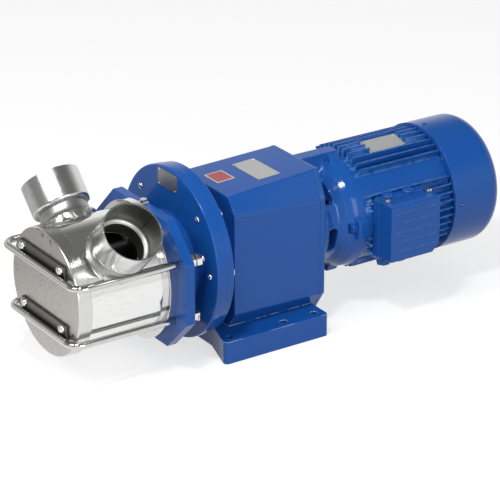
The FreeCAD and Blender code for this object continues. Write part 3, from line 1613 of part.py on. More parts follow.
def motor_core():
    """Stator core with its winding heads and the rotor core."""
    keep(ring("stator_core", "frame_bore", "stator_bore", "core_length",
              ["core_front", "0", "motor_axis_height"]), "stator_core")
    heads = []
    for name, spot in (("drive", "core_front - winding_length"), ("fan", "core_back")):
        heads.append(ring("winding_" + name, "frame_bore - winding_inset", "stator_bore + winding_step",
                          "winding_length", [spot, "0", "motor_axis_height"]))
    keep(collected("stator_windings", heads), "stator_windings")
    keep(ring("rotor_core", "stator_bore - air_gap", "rotor_shaft_radius + running_gap", "core_length",
              ["core_front", "0", "motor_axis_height"]), "rotor_core")


def motor_rear_shield():
    """Shield behind the frame that holds the fan side bearing and carries the fan cover."""
    body = turned("motor_rear_shield", "motor_axis_height", [
        ("frame_back", "motor_bearing_outer + running_gap"),
        ("frame_back", "shield_rim"),
        ("frame_back + rear_shield_length", "shield_rim"),
        ("frame_back + rear_shield_length", "shield_rim - shield_rim_wall"),
        ("frame_back + rear_shield_web", "shield_rim - shield_rim_wall"),
        ("frame_back + rear_shield_web", "rear_bearing_hub"),
        ("rear_bearing_front + motor_bearing_width + bearing_lip", "rear_bearing_hub"),
        ("rear_bearing_front + motor_bearing_width + bearing_lip", "motor_bearing_inner + shaft_clearance"),
        ("rear_bearing_front + motor_bearing_width", "motor_bearing_inner + shaft_clearance"),
        ("rear_bearing_front + motor_bearing_width", "motor_bearing_outer + running_gap"),
    ])
    hole = sketch_on(body, "XZ_Plane", "shield_rim - shield_rim_wall - overcut")
    circle(hole, "frame_back + cover_screw_place", "0", "cover_screw_radius / 2 + running_gap")
    repeat_round(body, pocket(body, hole, "shield_rim_wall + 4 * overcut"), "4")
    keep(body, "motor_rear_shield")


PLACES["shield_rim"] = "fan_cover_radius - fan_cover_wall - seat_gap"


def fan_cover():
    """Thin round cover with a large back radius and two rings of slots."""
    body = turned("fan_cover", "motor_axis_height", [
        ("frame_back", "0"),
        ("frame_back", "fan_cover_radius"),
        ("fan_cover_back", "fan_cover_radius"),
        ("fan_cover_back", "0"),
    ])
    room = sketch_on(body, "XZ_Plane")
    outline(room, [
        ("frame_back - overcut", "0"),
        ("frame_back - overcut", "fan_cover_radius - fan_cover_wall"),
        ("fan_cover_back - fan_cover_wall", "fan_cover_radius - fan_cover_wall"),
        ("fan_cover_back - fan_cover_wall", "0"),
    ])
    hollow = body.newObject("PartDesign::Groove", "fan_cover_hollow")
    hollow.Profile = room
    hollow.ReferenceAxis = (room, ["H_Axis"])
    hollow.Angle = 360
    body.Tip = hollow
    dress(body, "Fillet", "fan_cover_round - fan_cover_wall",
          round_at("fan_cover_back - fan_cover_wall", "fan_cover_radius - fan_cover_wall"))
    dress(body, "Fillet", "fan_cover_round", round_at("fan_cover_back", "fan_cover_radius"))
    for start, length, count in (("inner_slot_start", "inner_slot_length", "inner_slot_count"),
                                 ("outer_slot_start", "outer_slot_length", "outer_slot_count")):
        slot = sketch_on(body, "YZ_Plane", "fan_cover_back - 2 * fan_cover_wall")
        outline(slot, [
            ("0 - slot_width / 2", start),
            ("slot_width / 2", start),
            ("slot_width / 2", "%s + %s" % (start, length)),
            ("0 - slot_width / 2", "%s + %s" % (start, length)),
        ])
        repeat_round(body, pocket(body, slot, "3 * fan_cover_wall"), count)
    hole = sketch_on(body, "XZ_Plane", "fan_cover_radius - 3 * fan_cover_wall")
    circle(hole, "frame_back + cover_screw_place", "0", "cover_screw_radius / 2 + running_gap")
    repeat_round(body, pocket(body, hole, "6 * fan_cover_wall"), "4")
    keep(body, "fan_cover")


def fan_cover_screws():
    screws = []
    for index, angle in enumerate((0, 90, 180, 270)):
        name = "fan_cover_screw_%d" % index
        shank = doc.addObject("Part::Cylinder", name + "_shank")
        bind(shank, Radius="cover_screw_radius / 2", Height="cover_screw_length")
        head = doc.addObject("Part::Cone", name + "_head")
        bind(head, Radius1="cover_screw_radius", Radius2="cover_screw_top_radius", Height="cover_screw_head")
        for piece, reach in ((shank, "fan_cover_radius + overcut - cover_screw_length"),
                             (head, "fan_cover_radius + 2 * running_gap")):
            turn = FreeCAD.Rotation(FreeCAD.Vector(1, 0, 0), angle)
            piece.Placement = FreeCAD.Placement(FreeCAD.Vector(0, 0, 0), turn)
            bind(piece, **{
                "Placement.Base.x": "frame_back + cover_screw_place",
                "Placement.Base.y": "0 - (%s) * sin(%d)" % (reach, angle),
                "Placement.Base.z": "motor_axis_height + (%s) * cos(%d)" % (reach, angle),
            })
        screws.append(joined(name, [shank, head]))
    keep(collected("fan_cover_screws", screws), "fan_cover_screws")


def fan():
    """Radial fan: a hub, a thin disc and flat blades in front of it."""
    body = turned("fan", "motor_axis_height", [
        ("fan_front", "fan_shaft_radius + running_gap"),
        ("fan_front", "fan_hub_radius"),
        ("fan_front + fan_blade_thickness", "fan_hub_radius"),
        ("fan_front + fan_blade_thickness", "fan_disc_radius"),
        ("fan_front + 2 * fan_blade_thickness", "fan_disc_radius"),
        ("fan_front + 2 * fan_blade_thickness", "fan_hub_radius"),
        ("fan_front + fan_width", "fan_hub_radius"),
        ("fan_front + fan_width", "fan_shaft_radius + running_gap"),
    ])
    blade = sketch_on(body, "YZ_Plane", "fan_front")
    outline(blade, [
        ("0 - fan_blade_thickness / 2", "fan_hub_radius - blade_root"),
        ("fan_blade_thickness / 2", "fan_hub_radius - blade_root"),
        ("fan_blade_thickness / 2", "fan_radius"),
        ("0 - fan_blade_thickness / 2", "fan_radius"),
    ])
    repeat_round(body, pad(body, blade, "fan_width"), "fan_blade_count")
    keep(body, "fan")


# Terminal box

def box_outline(start, length, low, top):
    return [
        (start, "0 - " + low),
        ("%s + %s" % (start, length), "0 - " + low),
        ("%s + %s" % (start, length), top),
        (start, top),
    ]


def deep_edge(body_depth):
    """Test that picks the edges which run out from the motor along the box's depth."""
    def chosen(edge):
        box = edge.BoundBox
        return box.YLength > number(body_depth) - 0.1 and box.XLength < 0.01 and box.ZLength < 0.01
    return chosen


def terminal_box_base():
    body = new_body("terminal_box_base", "motor_axis_height")
    sketch = sketch_on(body, "XZ_Plane", "box_foot")
    outline(sketch, box_outline("box_front", "box_length", "box_low", "box_top"))
    pad(body, sketch, "box_depth")
    dress(body, "Fillet", "box_corner", deep_edge("box_depth"))
    room = sketch_on(body, "XZ_Plane", "box_foot + box_wall")
    outline(room, box_outline("lid_front + lid_wall", "lid_length - 2 * lid_wall",
                              "(lid_low - lid_wall)", "(lid_top - lid_wall)"))
    pocket(body, room, "box_depth")
    holes = sketch_on(body, "XY_Plane", "0 - box_low - overcut")
    for place_text in ("first_plug", "second_plug"):
        circle(holes, "box_front + " + place_text, "0 - box_foot - box_depth / 2",
               "plug_radius + running_gap")
    pocket(body, holes, "box_low - lid_low + lid_wall + 3 * overcut")
    keep(body, "terminal_box_base")


def terminal_box_lid():
    body = new_body("terminal_box_lid", "motor_axis_height")
    sketch = sketch_on(body, "XZ_Plane", "box_foot + box_depth")
    outline(sketch, [
        ("lid_front", "0 - lid_low"),
        ("lid_front + lid_length - lid_corner", "0 - lid_low"),
        ("lid_front + lid_length", "lid_corner - lid_low"),
        ("lid_front + lid_length", "lid_top"),
        ("lid_front", "lid_top"),
    ])
    pad(body, sketch, "lid_depth")
    dress(body, "Chamfer", "lid_bevel", lid_top_edge)
    room = sketch_on(body, "XZ_Plane", "box_foot + box_depth")
    outline(room, box_outline("lid_front + lid_wall", "lid_length - 2 * lid_wall - lid_corner / 2",
                              "(lid_low - lid_wall)", "(lid_top - lid_wall)"))
    pocket(body, room, "lid_depth - lid_wall")
    for step in range(-2, 3):
        level = "%d * lid_rib_pitch" % step
        rib = sketch_on(body, "XZ_Plane", "box_foot + box_depth + lid_depth - lid_wall / 2")
        outline(rib, [
            ("lid_front + lid_rib_inset", "%s - lid_rib_width / 2" % level),
            ("lid_front + lid_length - lid_rib_inset", "%s - lid_rib_width / 2" % level),
            ("lid_front + lid_length - lid_rib_inset", "%s + lid_rib_width / 2" % level),
            ("lid_front + lid_rib_inset", "%s + lid_rib_width / 2" % level),
        ])
        pad(body, rib, "lid_wall / 2 + lid_rib")
    keep(body, "terminal_box_lid")


def lid_top_edge(edge):
    """The lid's upper outer edge."""
    box = edge.BoundBox
    outer = abs(box.YMin + number("box_foot + box_depth + lid_depth")) < 0.01
    return outer and box.XLength > number("lid_length / 2") and box.ZMin > number("lid_top") - 0.1


def box_pieces():
    """Lid screws, plugs in the lower wall and the terminal block inside."""
    screws = []
    for column, across in (("left", "lid_front + lid_screw_inset"),
                           ("right", "lid_front + lid_length - lid_screw_inset")):
        top = "motor_axis_height + lid_top"
        name = "lid_screw_" + column
        ear = block(name + "_ear", ["2 * lid_screw_head", "lid_ear_thickness", "lid_ear_height"],
                    ["%s - lid_screw_head" % across, "0 - box_foot - box_depth - lid_ear_thickness", top])
        head = rod(name + "_head", "lid_screw_radius", "lid_screw_length",
                   [across, "0 - box_foot - box_depth - lid_ear_thickness - lid_screw_length",
                    top + " + lid_screw_rise"], "y")
        screws.append(joined(name, [ear, head]))
    keep(collected("lid_screws", screws), "lid_screws")
    for label, spot in (("blanking_plug", "first_plug"), ("cable_gland", "second_plug")):
        across = "box_front + " + spot
        depth = "0 - box_foot - box_depth / 2"
        low = "motor_axis_height - box_low"
        head = hex_rod(label + "_head", "plug_flats", "plug_head",
                       [across, depth, "%s - plug_head" % low], "z")
        stem = rod(label + "_stem", "plug_radius", "box_wall + 4 * plug_sink",
                   [across, depth, low + " - plug_sink"], "z")
        keep(joined(label, [head, stem]), label)
    keep(block("terminal_block", ["terminal_block_length", "terminal_block_depth", "terminal_block_height"],
               ["lid_front + terminal_block_start", "0 - box_foot - box_wall - terminal_block_depth",
                "motor_axis_height - terminal_block_drop"]), "terminal_block")


# Bare plates

def bare_plates():
    """Small bare plates: one on the disc, two on the gearbox roof and one on the motor."""
    keep(block("disc_plate", ["plate_sheet", "disc_plate_width", "disc_plate_height"],
               ["disc_front - plate_sheet", "disc_plate_side - disc_plate_width / 2",
                "motor_axis_height + disc_plate_centre - disc_plate_height / 2"]), "disc_plate")
    for label, start, length, width, side in (
            ("red_label", "red_label_start", "red_label_length", "red_label_width", "red_label_side"),
            ("silver_plate", "silver_plate_start", "silver_plate_length", "silver_plate_width",
             "silver_plate_side")):
        plate = block(label, [length, width, "plate_sheet"], ["0", "0", "0"])
        rise = "(housing_back_top - housing_front_top) / housing_length"
        tilt = FreeCAD.Rotation(FreeCAD.Vector(0, -1, 0), 1)
        plate.Placement = FreeCAD.Placement(FreeCAD.Vector(0, 0, 0), tilt)
        bind(plate, **{
            "Placement.Rotation.Angle": "atan(%s)" % rise,
            "Placement.Base.x": "housing_front + " + start,
            "Placement.Base.y": "%s - %s / 2" % (side, width),
            "Placement.Base.z": "motor_axis_height + housing_front_top + plate_gap + %s * %s" % (start, rise),
        })
        keep(plate, label)
    plate = name_plate_block("motor_nameplate", "plate_sheet", "name_pad_level + plate_gap")
    bind(plate, Length="name_pad_length - plate_margin", Width="name_pad_width - plate_margin")
    keep(plate, "motor_nameplate")


# All pieces in turn

gearbox_housing()
gearbox_rear_cover()
bearing_wall()
output_flange()
oil_plugs()
adapter_disc()
disc_fasteners()
lantern()
support_plate()
plate_clip()
pump_body()
port("suction_port", "port_angle")
port("delivery_port", "0 - port_angle")
pump_cover()
cover_ring()
bent_bar("upper_stirrup", "upper_bar_half_width", "upper_bar_rise")
bent_bar("lower_stirrup", "lower_bar_half_width", "0 - lower_bar_drop")
clamp_bar("upper_clamp_bar", "upper_bar_half_width", "clamp_line_upper", "upper_bar_rise")
clamp_bar("lower_clamp_bar", "lower_bar_half_width", "clamp_line_lower", "0 - lower_bar_drop")
clamp_screws()
bar_nuts()
cam()
impeller()
impeller_insert()
shaft_seal()
output_shaft()
bearings()
gear_train()
input_adapter()
motor_front_shield()
adapter_bolts()
motor_frame()
motor_core()
motor_rear_shield()
fan_cover()
fan_cover_screws()
fan()
terminal_box_base()
terminal_box_lid()
box_pieces()
bare_plates()

# Check the document, then write one file for each piece

doc.recompute()
faults = [thing.Name for thing in doc.Objects if "Invalid" in thing.State or "Error" in thing.State]
if faults:
    raise RuntimeError("objects that failed: %s" % faults)
for node in NODES:
    if node.Shape.isNull() or not node.Shape.isValid() or not node.Shape.Solids:
        raise RuntimeError("no valid solid: " + node.Label)
os.makedirs("parts", exist_ok=True)
for node in NODES:
    node.Shape.exportStep("parts/%s.step" % node.Label)
print("nodes", len(NODES), "solids", sum(len(node.Shape.Solids) for node in NODES))
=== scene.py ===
import bmesh
import bpy
import math
from mathutils import Matrix, Vector


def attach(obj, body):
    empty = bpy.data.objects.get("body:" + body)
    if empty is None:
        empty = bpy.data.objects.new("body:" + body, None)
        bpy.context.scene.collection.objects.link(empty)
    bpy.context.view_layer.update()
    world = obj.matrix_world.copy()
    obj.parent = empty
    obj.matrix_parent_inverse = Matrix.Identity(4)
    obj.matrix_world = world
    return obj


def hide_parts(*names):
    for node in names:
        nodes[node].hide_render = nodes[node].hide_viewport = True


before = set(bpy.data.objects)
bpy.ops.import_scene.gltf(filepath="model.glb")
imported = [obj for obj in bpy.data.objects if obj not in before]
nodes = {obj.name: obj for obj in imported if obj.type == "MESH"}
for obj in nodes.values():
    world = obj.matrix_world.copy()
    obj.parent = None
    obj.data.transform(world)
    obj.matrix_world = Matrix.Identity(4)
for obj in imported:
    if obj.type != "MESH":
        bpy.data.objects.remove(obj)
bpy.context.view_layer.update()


# The studio
# A plain white floor that runs out of sight, soft lamps above and in front, and a white room. The
# floor and the room are white to the eye and in reflections, where the ceiling and the far end
# of the room, which no lamp reaches, are dimmer. In reflections only, a painted shade lowers the
# floor's glow behind and to the left of the machine.
FLOOR_HALF, FLOOR_PAINT = 6.0, 0.46
FLOOR_GLOW, SHADED_FLOOR_GLOW = 0.64, 0.14
FLOOR_SHADE_X, FLOOR_SHADE_Y = (0.10, -0.40), (0.10, 0.60)
ROOM_LIGHT, CEILING_LIGHT, FAR_END_LIGHT = 0.42, 0.18, 0.30
CEILING_RISE, FAR_END_TURN = (0.20, 0.72), (-0.55, -0.85)
LAMPS = (
    ("key_lamp", (-2.2, -0.3, 2.2), 1.1, 26.0),
    ("top_lamp", (-1.1, -0.9, 2.6), 0.35, 30.0),
    ("front_lamp", (-0.3, -3.3, 1.4), 2.0, 46.0),
)
LAMP_AIM = Vector((-0.05, 0.0, 0.15))
CAMERA_PLACE = (-2.158, -3.278, 1.858)
CAMERA_TILT, CAMERA_TURN = 66.35, -33.7
CAMERA_LENS = 180.0

scene = bpy.context.scene
scene.view_settings.view_transform = "Standard"


def join_up(tree, *pairs):
    """Links pairs of (output socket, input socket)."""
    for source, target in pairs:
        tree.links.new(source, target)


def set_or_join(tree, socket, value):
    """Gives a socket a plain value or another node's output."""
    if isinstance(value, bpy.types.NodeSocket):
        tree.links.new(value, socket)
    else:
        socket.default_value = value


def math_node(tree, operation, *values):
    """A Math node fed by numbers or sockets; gives its output."""
    node = tree.nodes.new("ShaderNodeMath")
    node.operation = operation
    for socket, value in zip(node.inputs, values):
        set_or_join(tree, socket, value)
    return node.outputs[0]


def spread(tree, value, low, high, to_low=0.0, to_high=1.0):
    """Stretches a value between two limits."""
    node = tree.nodes.new("ShaderNodeMapRange")
    node.interpolation_type = "SMOOTHSTEP"
    for socket, number in zip(node.inputs, (value, low, high, to_low, to_high)):
        set_or_join(tree, socket, number)
    return node.outputs[0]


def seen_direct(tree):
    """1 where the eye, a reflection or a clear piece looks straight at it, and 1 in reflections."""
    path = tree.nodes.new("ShaderNodeLightPath")
    mirrored = path.outputs["Is Glossy Ray"]
    seen = math_node(tree, "MAXIMUM", path.outputs["Is Camera Ray"], mirrored)
    return math_node(tree, "MAXIMUM", seen, path.outputs["Is Transmission Ray"]), mirrored


def place_in(tree, kind="Object"):
    """The X, Y and Z of a texture coordinate."""
    parts = tree.nodes.new("ShaderNodeSeparateXYZ")
    join_up(tree, (tree.nodes.new("ShaderNodeTexCoord").outputs[kind], parts.inputs[0]))
    return parts.outputs


world = bpy.data.worlds.new("white_room")
scene.world = world
world.use_nodes = True
tree = world.node_tree
background = tree.nodes["Background"]
background.inputs["Color"].default_value = (1, 1, 1, 1)
seen, mirrored = seen_direct(tree)
room = math_node(tree, "MULTIPLY_ADD", seen, 1 - ROOM_LIGHT, ROOM_LIGHT)
way = place_in(tree, "Generated")
ceiling = spread(tree, way["Z"], *CEILING_RISE, 0.0, 1.0 - CEILING_LIGHT)
far_end = spread(tree, way["X"], *FAR_END_TURN, 0.0, 1.0 - FAR_END_LIGHT)
dimmer = math_node(tree, "MULTIPLY", math_node(tree, "MAXIMUM", ceiling, far_end), mirrored)
room = math_node(tree, "SUBTRACT", room, dimmer)
join_up(tree, (room, background.inputs["Strength"]))

bpy.ops.object.select_all(action="DESELECT")
bpy.ops.mesh.primitive_plane_add(size=2 * FLOOR_HALF, location=(0, 0, 0))
floor = bpy.context.object
floor.name = "studio_floor"
white = bpy.data.materials.new("floor_white")
white.use_nodes = True
tree = white.node_tree
surface = tree.nodes["Principled BSDF"]
surface.inputs["Base Color"].default_value = (FLOOR_PAINT, FLOOR_PAINT, FLOOR_PAINT, 1)
surface.inputs["Roughness"].default_value = 0.9
surface.inputs["Specular IOR Level"].default_value = 0.0
surface.inputs["Emission Color"].default_value = (1, 1, 1, 1)
seen, mirrored = seen_direct(tree)
spot = place_in(tree)
# Painted shade: behind and to the left of the machine, out to the floor's edge, the floor glows less in
# reflections only.
painted_floor_shade = spread(tree, spot["Y"], *FLOOR_SHADE_Y, 0.0, FLOOR_GLOW - SHADED_FLOOR_GLOW)
painted_floor_shade = math_node(tree, "MULTIPLY", painted_floor_shade, spread(tree, spot["X"], *FLOOR_SHADE_X))
glow = math_node(tree, "SUBTRACT", math_node(tree, "MULTIPLY", seen, FLOOR_GLOW),
                 math_node(tree, "MULTIPLY", painted_floor_shade, mirrored))
join_up(tree, (glow, surface.inputs["Emission Strength"]))
floor.data.materials.append(white)

for name, place, size, power in LAMPS:
    lamp = bpy.data.lights.new(name, "AREA")
    lamp.shape = "SQUARE"
    lamp.size = size
    lamp.energy = power
    holder = bpy.data.objects.new(name, lamp)
    scene.collection.objects.link(holder)
    holder.location = place
    holder.rotation_euler = (LAMP_AIM - Vector(place)).to_track_quat("-Z", "Y").to_euler()

camera = bpy.data.objects.new("camera", bpy.data.cameras.new("camera"))
scene.collection.objects.link(camera)
camera.location = CAMERA_PLACE
camera.rotation_euler = (math.radians(CAMERA_TILT), 0, math.radians(CAMERA_TURN))
camera.data.lens = CAMERA_LENS
camera.data.sensor_width = 36.0
camera.data.clip_start, camera.data.clip_end = 0.1, 50.0
scene.camera = camera


# The painted castings
# Grey iron and sheet, sprayed with one coat of deep blue gloss enamel after assembly. The skin of
# the casting shows through it as a low grain. On sharp edges a paler blue is painted in as a
# highlight, and low down, on the foot, the coat is chipped to the primer.
CASTINGS = (
    "output_flange", "adapter_disc", "lantern", "support_plate", "input_adapter",
    "motor_front_shield", "motor_frame", "motor_rear_shield", "fan_cover", "gearbox_rear_cover",
    "gearbox_housing", "terminal_box_base", "terminal_box_lid",
)
CAST_EDGES = (
    ("gearbox_housing", 0.0022), ("gearbox_rear_cover", 0.0015), ("support_plate", 0.0012),
    ("motor_front_shield", 0.0015), ("terminal_box_base", 0.0012), ("terminal_box_lid", 0.0008),
    ("adapter_disc", 0.0012), ("output_flange", 0.0012),
)
CAST_ROUND = ("lantern", "input_adapter", "motor_frame", "fan_cover")
PAINT, PAINT_DEEP = (0.010, 0.088, 0.365), (0.008, 0.078, 0.330)
# PAINTED_EDGE_HIGHLIGHT is a paler blue painted on sharp edges as a highlight; PRIMER shows in the
# chips.
PAINTED_EDGE_HIGHLIGHT, PRIMER = (0.050, 0.175, 0.500), (0.42, 0.50, 0.62)
CHIPS_FULL, CHIPS_END = 0.047, 0.062
EDGE_TURN = (0.995, 0.90)
MERGE, FLAT_WITHIN = 0.000002, math.radians(0.2)


def effect(name, inputs, outputs):
    """An empty shader node group with its sockets, and the two ends inside it."""
    group = bpy.data.node_groups.new(name, "ShaderNodeTree")
    for socket, kind, value in inputs:
        made = group.interface.new_socket(socket, in_out="INPUT", socket_type="NodeSocket" + kind)
        made.default_value = value
    for socket, kind in outputs:
        group.interface.new_socket(socket, in_out="OUTPUT", socket_type="NodeSocket" + kind)
    return group, group.nodes.new("NodeGroupInput").outputs, group.nodes.new("NodeGroupOutput").inputs


def place_effect(tree, group, **values):
    """Puts a group into a material with its own values."""
    node = tree.nodes.new("ShaderNodeGroup")
    node.node_tree = group
    for socket, value in values.items():
        if isinstance(value, tuple) and len(value) == 3 and node.inputs[socket].type == "RGBA":
            value = value + (1.0,)
        node.inputs[socket].default_value = value
    return node


def noise_on(tree, vector, scale, detail=3.0, roughness=0.55):
    """A noise pattern over a vector; gives its value."""
    node = tree.nodes.new("ShaderNodeTexNoise")
    node.inputs["Detail"].default_value = detail
    node.inputs["Roughness"].default_value = roughness
    join_up(tree, (vector, node.inputs["Vector"]))
    set_or_join(tree, node.inputs["Scale"], scale)
    return node.outputs["Fac"]


def blend(tree, share, first, second):
    """Mixes two colours."""
    node = tree.nodes.new("ShaderNodeMix")
    node.data_type = "RGBA"
    for socket, value in ((node.inputs[0], share), (node.inputs[6], first), (node.inputs[7], second)):
        set_or_join(tree, socket, value)
    return node.outputs[2]


# An edge mask from the rounded normal against the true normal, broken by noise. It places both the
# painted edge highlight and the chips in the coat.
edges, given, result = effect(
    "edge_wear_and_highlight",
    [("Reach", "Float", 0.0015), ("Breaks", "Float", 90.0), ("From", "Float", 0.30),
     ("To", "Float", 0.60)],
    [("Edge", "Float")])
rounded = edges.nodes.new("ShaderNodeBevel")
rounded.samples = 6
flat = edges.nodes.new("ShaderNodeNewGeometry")
turn = edges.nodes.new("ShaderNodeVectorMath")
turn.operation = "DOT_PRODUCT"
join_up(edges, (given["Reach"], rounded.inputs["Radius"]),
        (rounded.outputs["Normal"], turn.inputs[0]), (flat.outputs["True Normal"], turn.inputs[1]))
where = edges.nodes.new("ShaderNodeTexCoord").outputs["Object"]
broken = spread(edges, noise_on(edges, where, given["Breaks"]), given["From"], given["To"])
at_edge = spread(edges, turn.outputs["Value"], *EDGE_TURN)
join_up(edges, (math_node(edges, "MULTIPLY", at_edge, broken), result["Edge"]))

sprayed, given, result = effect(
    "sprayed_coat",
    [("Coat", "Color", (0, 0, 1, 1)), ("Deep", "Color", (0, 0, 0.5, 1)), ("Blotch", "Float", 5.0),
     ("Grain", "Float", 260.0), ("Gloss", "Float", 0.2)],
    [("Color", "Color"), ("Roughness", "Float"), ("Height", "Float")])
where = sprayed.nodes.new("ShaderNodeTexCoord").outputs["Object"]
cloud = noise_on(sprayed, where, given["Blotch"], 1.0)
peel = noise_on(sprayed, where, given["Grain"], 2.0)
join_up(
    sprayed,
    (blend(sprayed, cloud, given["Deep"], given["Coat"]), result["Color"]),
    (math_node(sprayed, "MULTIPLY_ADD", peel, 0.06, given["Gloss"]), result["Roughness"]),
    (peel, result["Height"]),
)


def finish(name, **sockets):
    """A new material with a Principled shader and its plain values."""
    material = bpy.data.materials.new(name)
    material.use_nodes = True
    shader = material.node_tree.nodes["Principled BSDF"]
    for socket, value in sockets.items():
        shader.inputs[socket.replace("_", " ")].default_value = value
    return material, material.node_tree, shader.inputs


def eased_edges(tree, sockets, radius, height=None, strength=0.1, depth=0.0002):
    """Rounds the light on sharp edges, and raises a height on top of it."""
    edge = tree.nodes.new("ShaderNodeBevel")
    edge.inputs["Radius"].default_value = radius
    edge.samples = 6
    normal = edge.outputs["Normal"]
    if height is not None:
        bump = tree.nodes.new("ShaderNodeBump")
        bump.inputs["Strength"].default_value = strength
        bump.inputs["Distance"].default_value = depth
        join_up(tree, (height, bump.inputs["Height"]), (normal, bump.inputs["Normal"]))
        normal = bump.outputs["Normal"]
    join_up(tree, (normal, sockets["Normal"]))


def finish_nodes(names, material):
    """Gives CAD nodes their finish."""
    for name in names:
        for slot in nodes[name].material_slots:
            slot.material = material


enamel, tree, sockets = finish("blue_enamel", IOR=1.45, Specular_IOR_Level=0.30)
skin = place_effect(tree, sprayed, Coat=PAINT, Deep=PAINT_DEEP, Blotch=5.0, Grain=240.0, Gloss=0.10)
# Painted highlight: a paler blue mixed into the coat along the sharp edges, where lamps would glint.
painted_highlight = place_effect(tree, edges, Reach=0.0016, Breaks=60.0)
chips = place_effect(tree, edges, Reach=0.0022, Breaks=26.0, From=0.47, To=0.53)
low_down = spread(tree, place_in(tree)["Z"], CHIPS_END, CHIPS_FULL)
chipped = math_node(tree, "MULTIPLY", chips.outputs["Edge"], low_down)
coat = blend(tree, painted_highlight.outputs["Edge"], skin.outputs["Color"], PAINTED_EDGE_HIGHLIGHT + (1.0,))
join_up(tree, (blend(tree, chipped, coat, PRIMER + (1.0,)), sockets["Base Color"]),
        (skin.outputs["Roughness"], sockets["Roughness"]))
eased_edges(tree, sockets, 0.0022, skin.outputs["Height"], strength=0.12, depth=0.0003)


def copy_of(node, name, *materials, flat=True):
    """A merged copy of a CAD node's mesh, with its flat faces made whole where they are shaped."""
    bpy.ops.object.select_all(action="DESELECT")
    piece = nodes[node].copy()
    piece.data = nodes[node].data.copy()
    piece.name = name
    piece.parent = None
    scene.collection.objects.link(piece)
    piece.data.materials.clear()
    for material in materials:
        piece.data.materials.append(material)
    piece.select_set(True)
    bpy.context.view_layer.objects.active = piece
    bpy.ops.object.mode_set(mode="EDIT")
    bpy.ops.mesh.select_all(action="SELECT")
    bpy.ops.mesh.remove_doubles(threshold=MERGE)
    if flat:
        bpy.ops.mesh.dissolve_limited(angle_limit=FLAT_WITHIN)
    bpy.ops.object.mode_set(mode="OBJECT")
    return piece


def bevelled(piece, width, steps=2, angle=35):
    """Rounds the sharp edges of a piece by a small width."""
    bpy.context.view_layer.objects.active = piece
    bevel = piece.modifiers.new("edge", "BEVEL")
    bevel.width = width
    bevel.segments = steps
    bevel.limit_method = "ANGLE"
    bevel.angle_limit = math.radians(angle)
    bpy.ops.object.modifier_apply(modifier=bevel.name)
    smooth(piece, angle)


def smooth_copy(node, name, slot, *materials, angle=32, body="base"):
    """Stands a smoothly shaded copy in the place of a CAD node."""
    piece = copy_of(node, name, *materials, flat=False)
    smooth(piece, angle)
    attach(piece, body)
    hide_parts(node)
    return piece


def smooth(piece, angle=35):
    """Shades a piece smooth except at its sharp edges."""
    bpy.ops.object.select_all(action="DESELECT")
    piece.select_set(True)
    bpy.context.view_layer.objects.active = piece
    bpy.ops.object.shade_smooth_by_angle(angle=math.radians(angle))
    even = piece.modifiers.new("even_light", "WEIGHTED_NORMAL")
    even.mode = "FACE_AREA"
    even.weight = 50
    even.keep_sharp = True
    bpy.ops.object.modifier_apply(modifier=even.name)


finish_nodes(CASTINGS, enamel)
for node, width in CAST_EDGES:
    casting = copy_of(node, node + "_casting", enamel)
    bevelled(casting, width, steps=3, angle=30)
    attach(casting, "base")
    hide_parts(node)
for node in CAST_ROUND:
    smooth_copy(node, node + "_casting", "blue_paint", enamel)
finish_nodes(("adapter_bolts", "fan_cover_screws", "oil_plugs"), enamel)


# The polished head
# Body and tube ports of stainless steel, welded, ground and mirror polished on the outside. The
# tubes keep a dull drawn skin inside, with the weld seam of the tube along it.
MIRROR, MIRROR_DULL = (0.75, 0.75, 0.74), (0.66, 0.66, 0.65)
INSIDE, INSIDE_DULL = (0.44, 0.44, 0.43), (0.35, 0.35, 0.34)
PORT_MIDDLE = (-0.2852, 0.0, 0.155)
PORT_TURN = math.radians(45)
TUBE_BORE = 0.0495
RIM_LEVEL = 0.1885

polished, given, result = effect(
    "polish_marks",
    [("Steel", "Color", (0.6, 0.6, 0.6, 1)), ("Dull", "Color", (0.4, 0.4, 0.4, 1)),
     ("Stretch", "Vector", (1, 1, 1)), ("Lines", "Float", 60.0), ("Smooth", "Float", 0.05),
     ("Rough", "Float", 0.2)],
    [("Color", "Color"), ("Roughness", "Float"), ("Height", "Float")])
where = polished.nodes.new("ShaderNodeTexCoord").outputs["Object"]
drawn = polished.nodes.new("ShaderNodeVectorMath")
drawn.operation = "MULTIPLY"
join_up(polished, (where, drawn.inputs[0]), (given["Stretch"], drawn.inputs[1]))
cloud = noise_on(polished, where, 14.0)
lines = noise_on(polished, drawn.outputs[0], given["Lines"], 4.0, 0.7)
mark = spread(polished, lines, 0.45, 0.75)
share = math_node(polished, "MULTIPLY", mark, spread(polished, cloud, 0.3, 0.7, 0.3, 1.0))
range_up = math_node(polished, "SUBTRACT", given["Rough"], given["Smooth"])
join_up(
    polished,
    (blend(polished, share, given["Steel"], given["Dull"]), result["Color"]),
    (math_node(polished, "MULTIPLY_ADD", share, range_up, given["Smooth"]), result["Roughness"]),
    (lines, result["Height"]),
)


def steel(name, light, dull, stretch, lines, shiny, matt, edge, strength=0.05):
    """A bare steel finish with its polishing marks."""
    material, tree, sockets = finish(name, Metallic=1.0)
    marks = place_effect(tree, polished, Steel=light, Dull=dull, Stretch=stretch, Lines=lines,
                         Smooth=shiny, Rough=matt)
    join_up(tree, (marks.outputs["Color"], sockets["Base Color"]),
            (marks.outputs["Roughness"], sockets["Roughness"]))
    eased_edges(tree, sockets, edge, marks.outputs["Height"], strength, 0.0001)
    return material


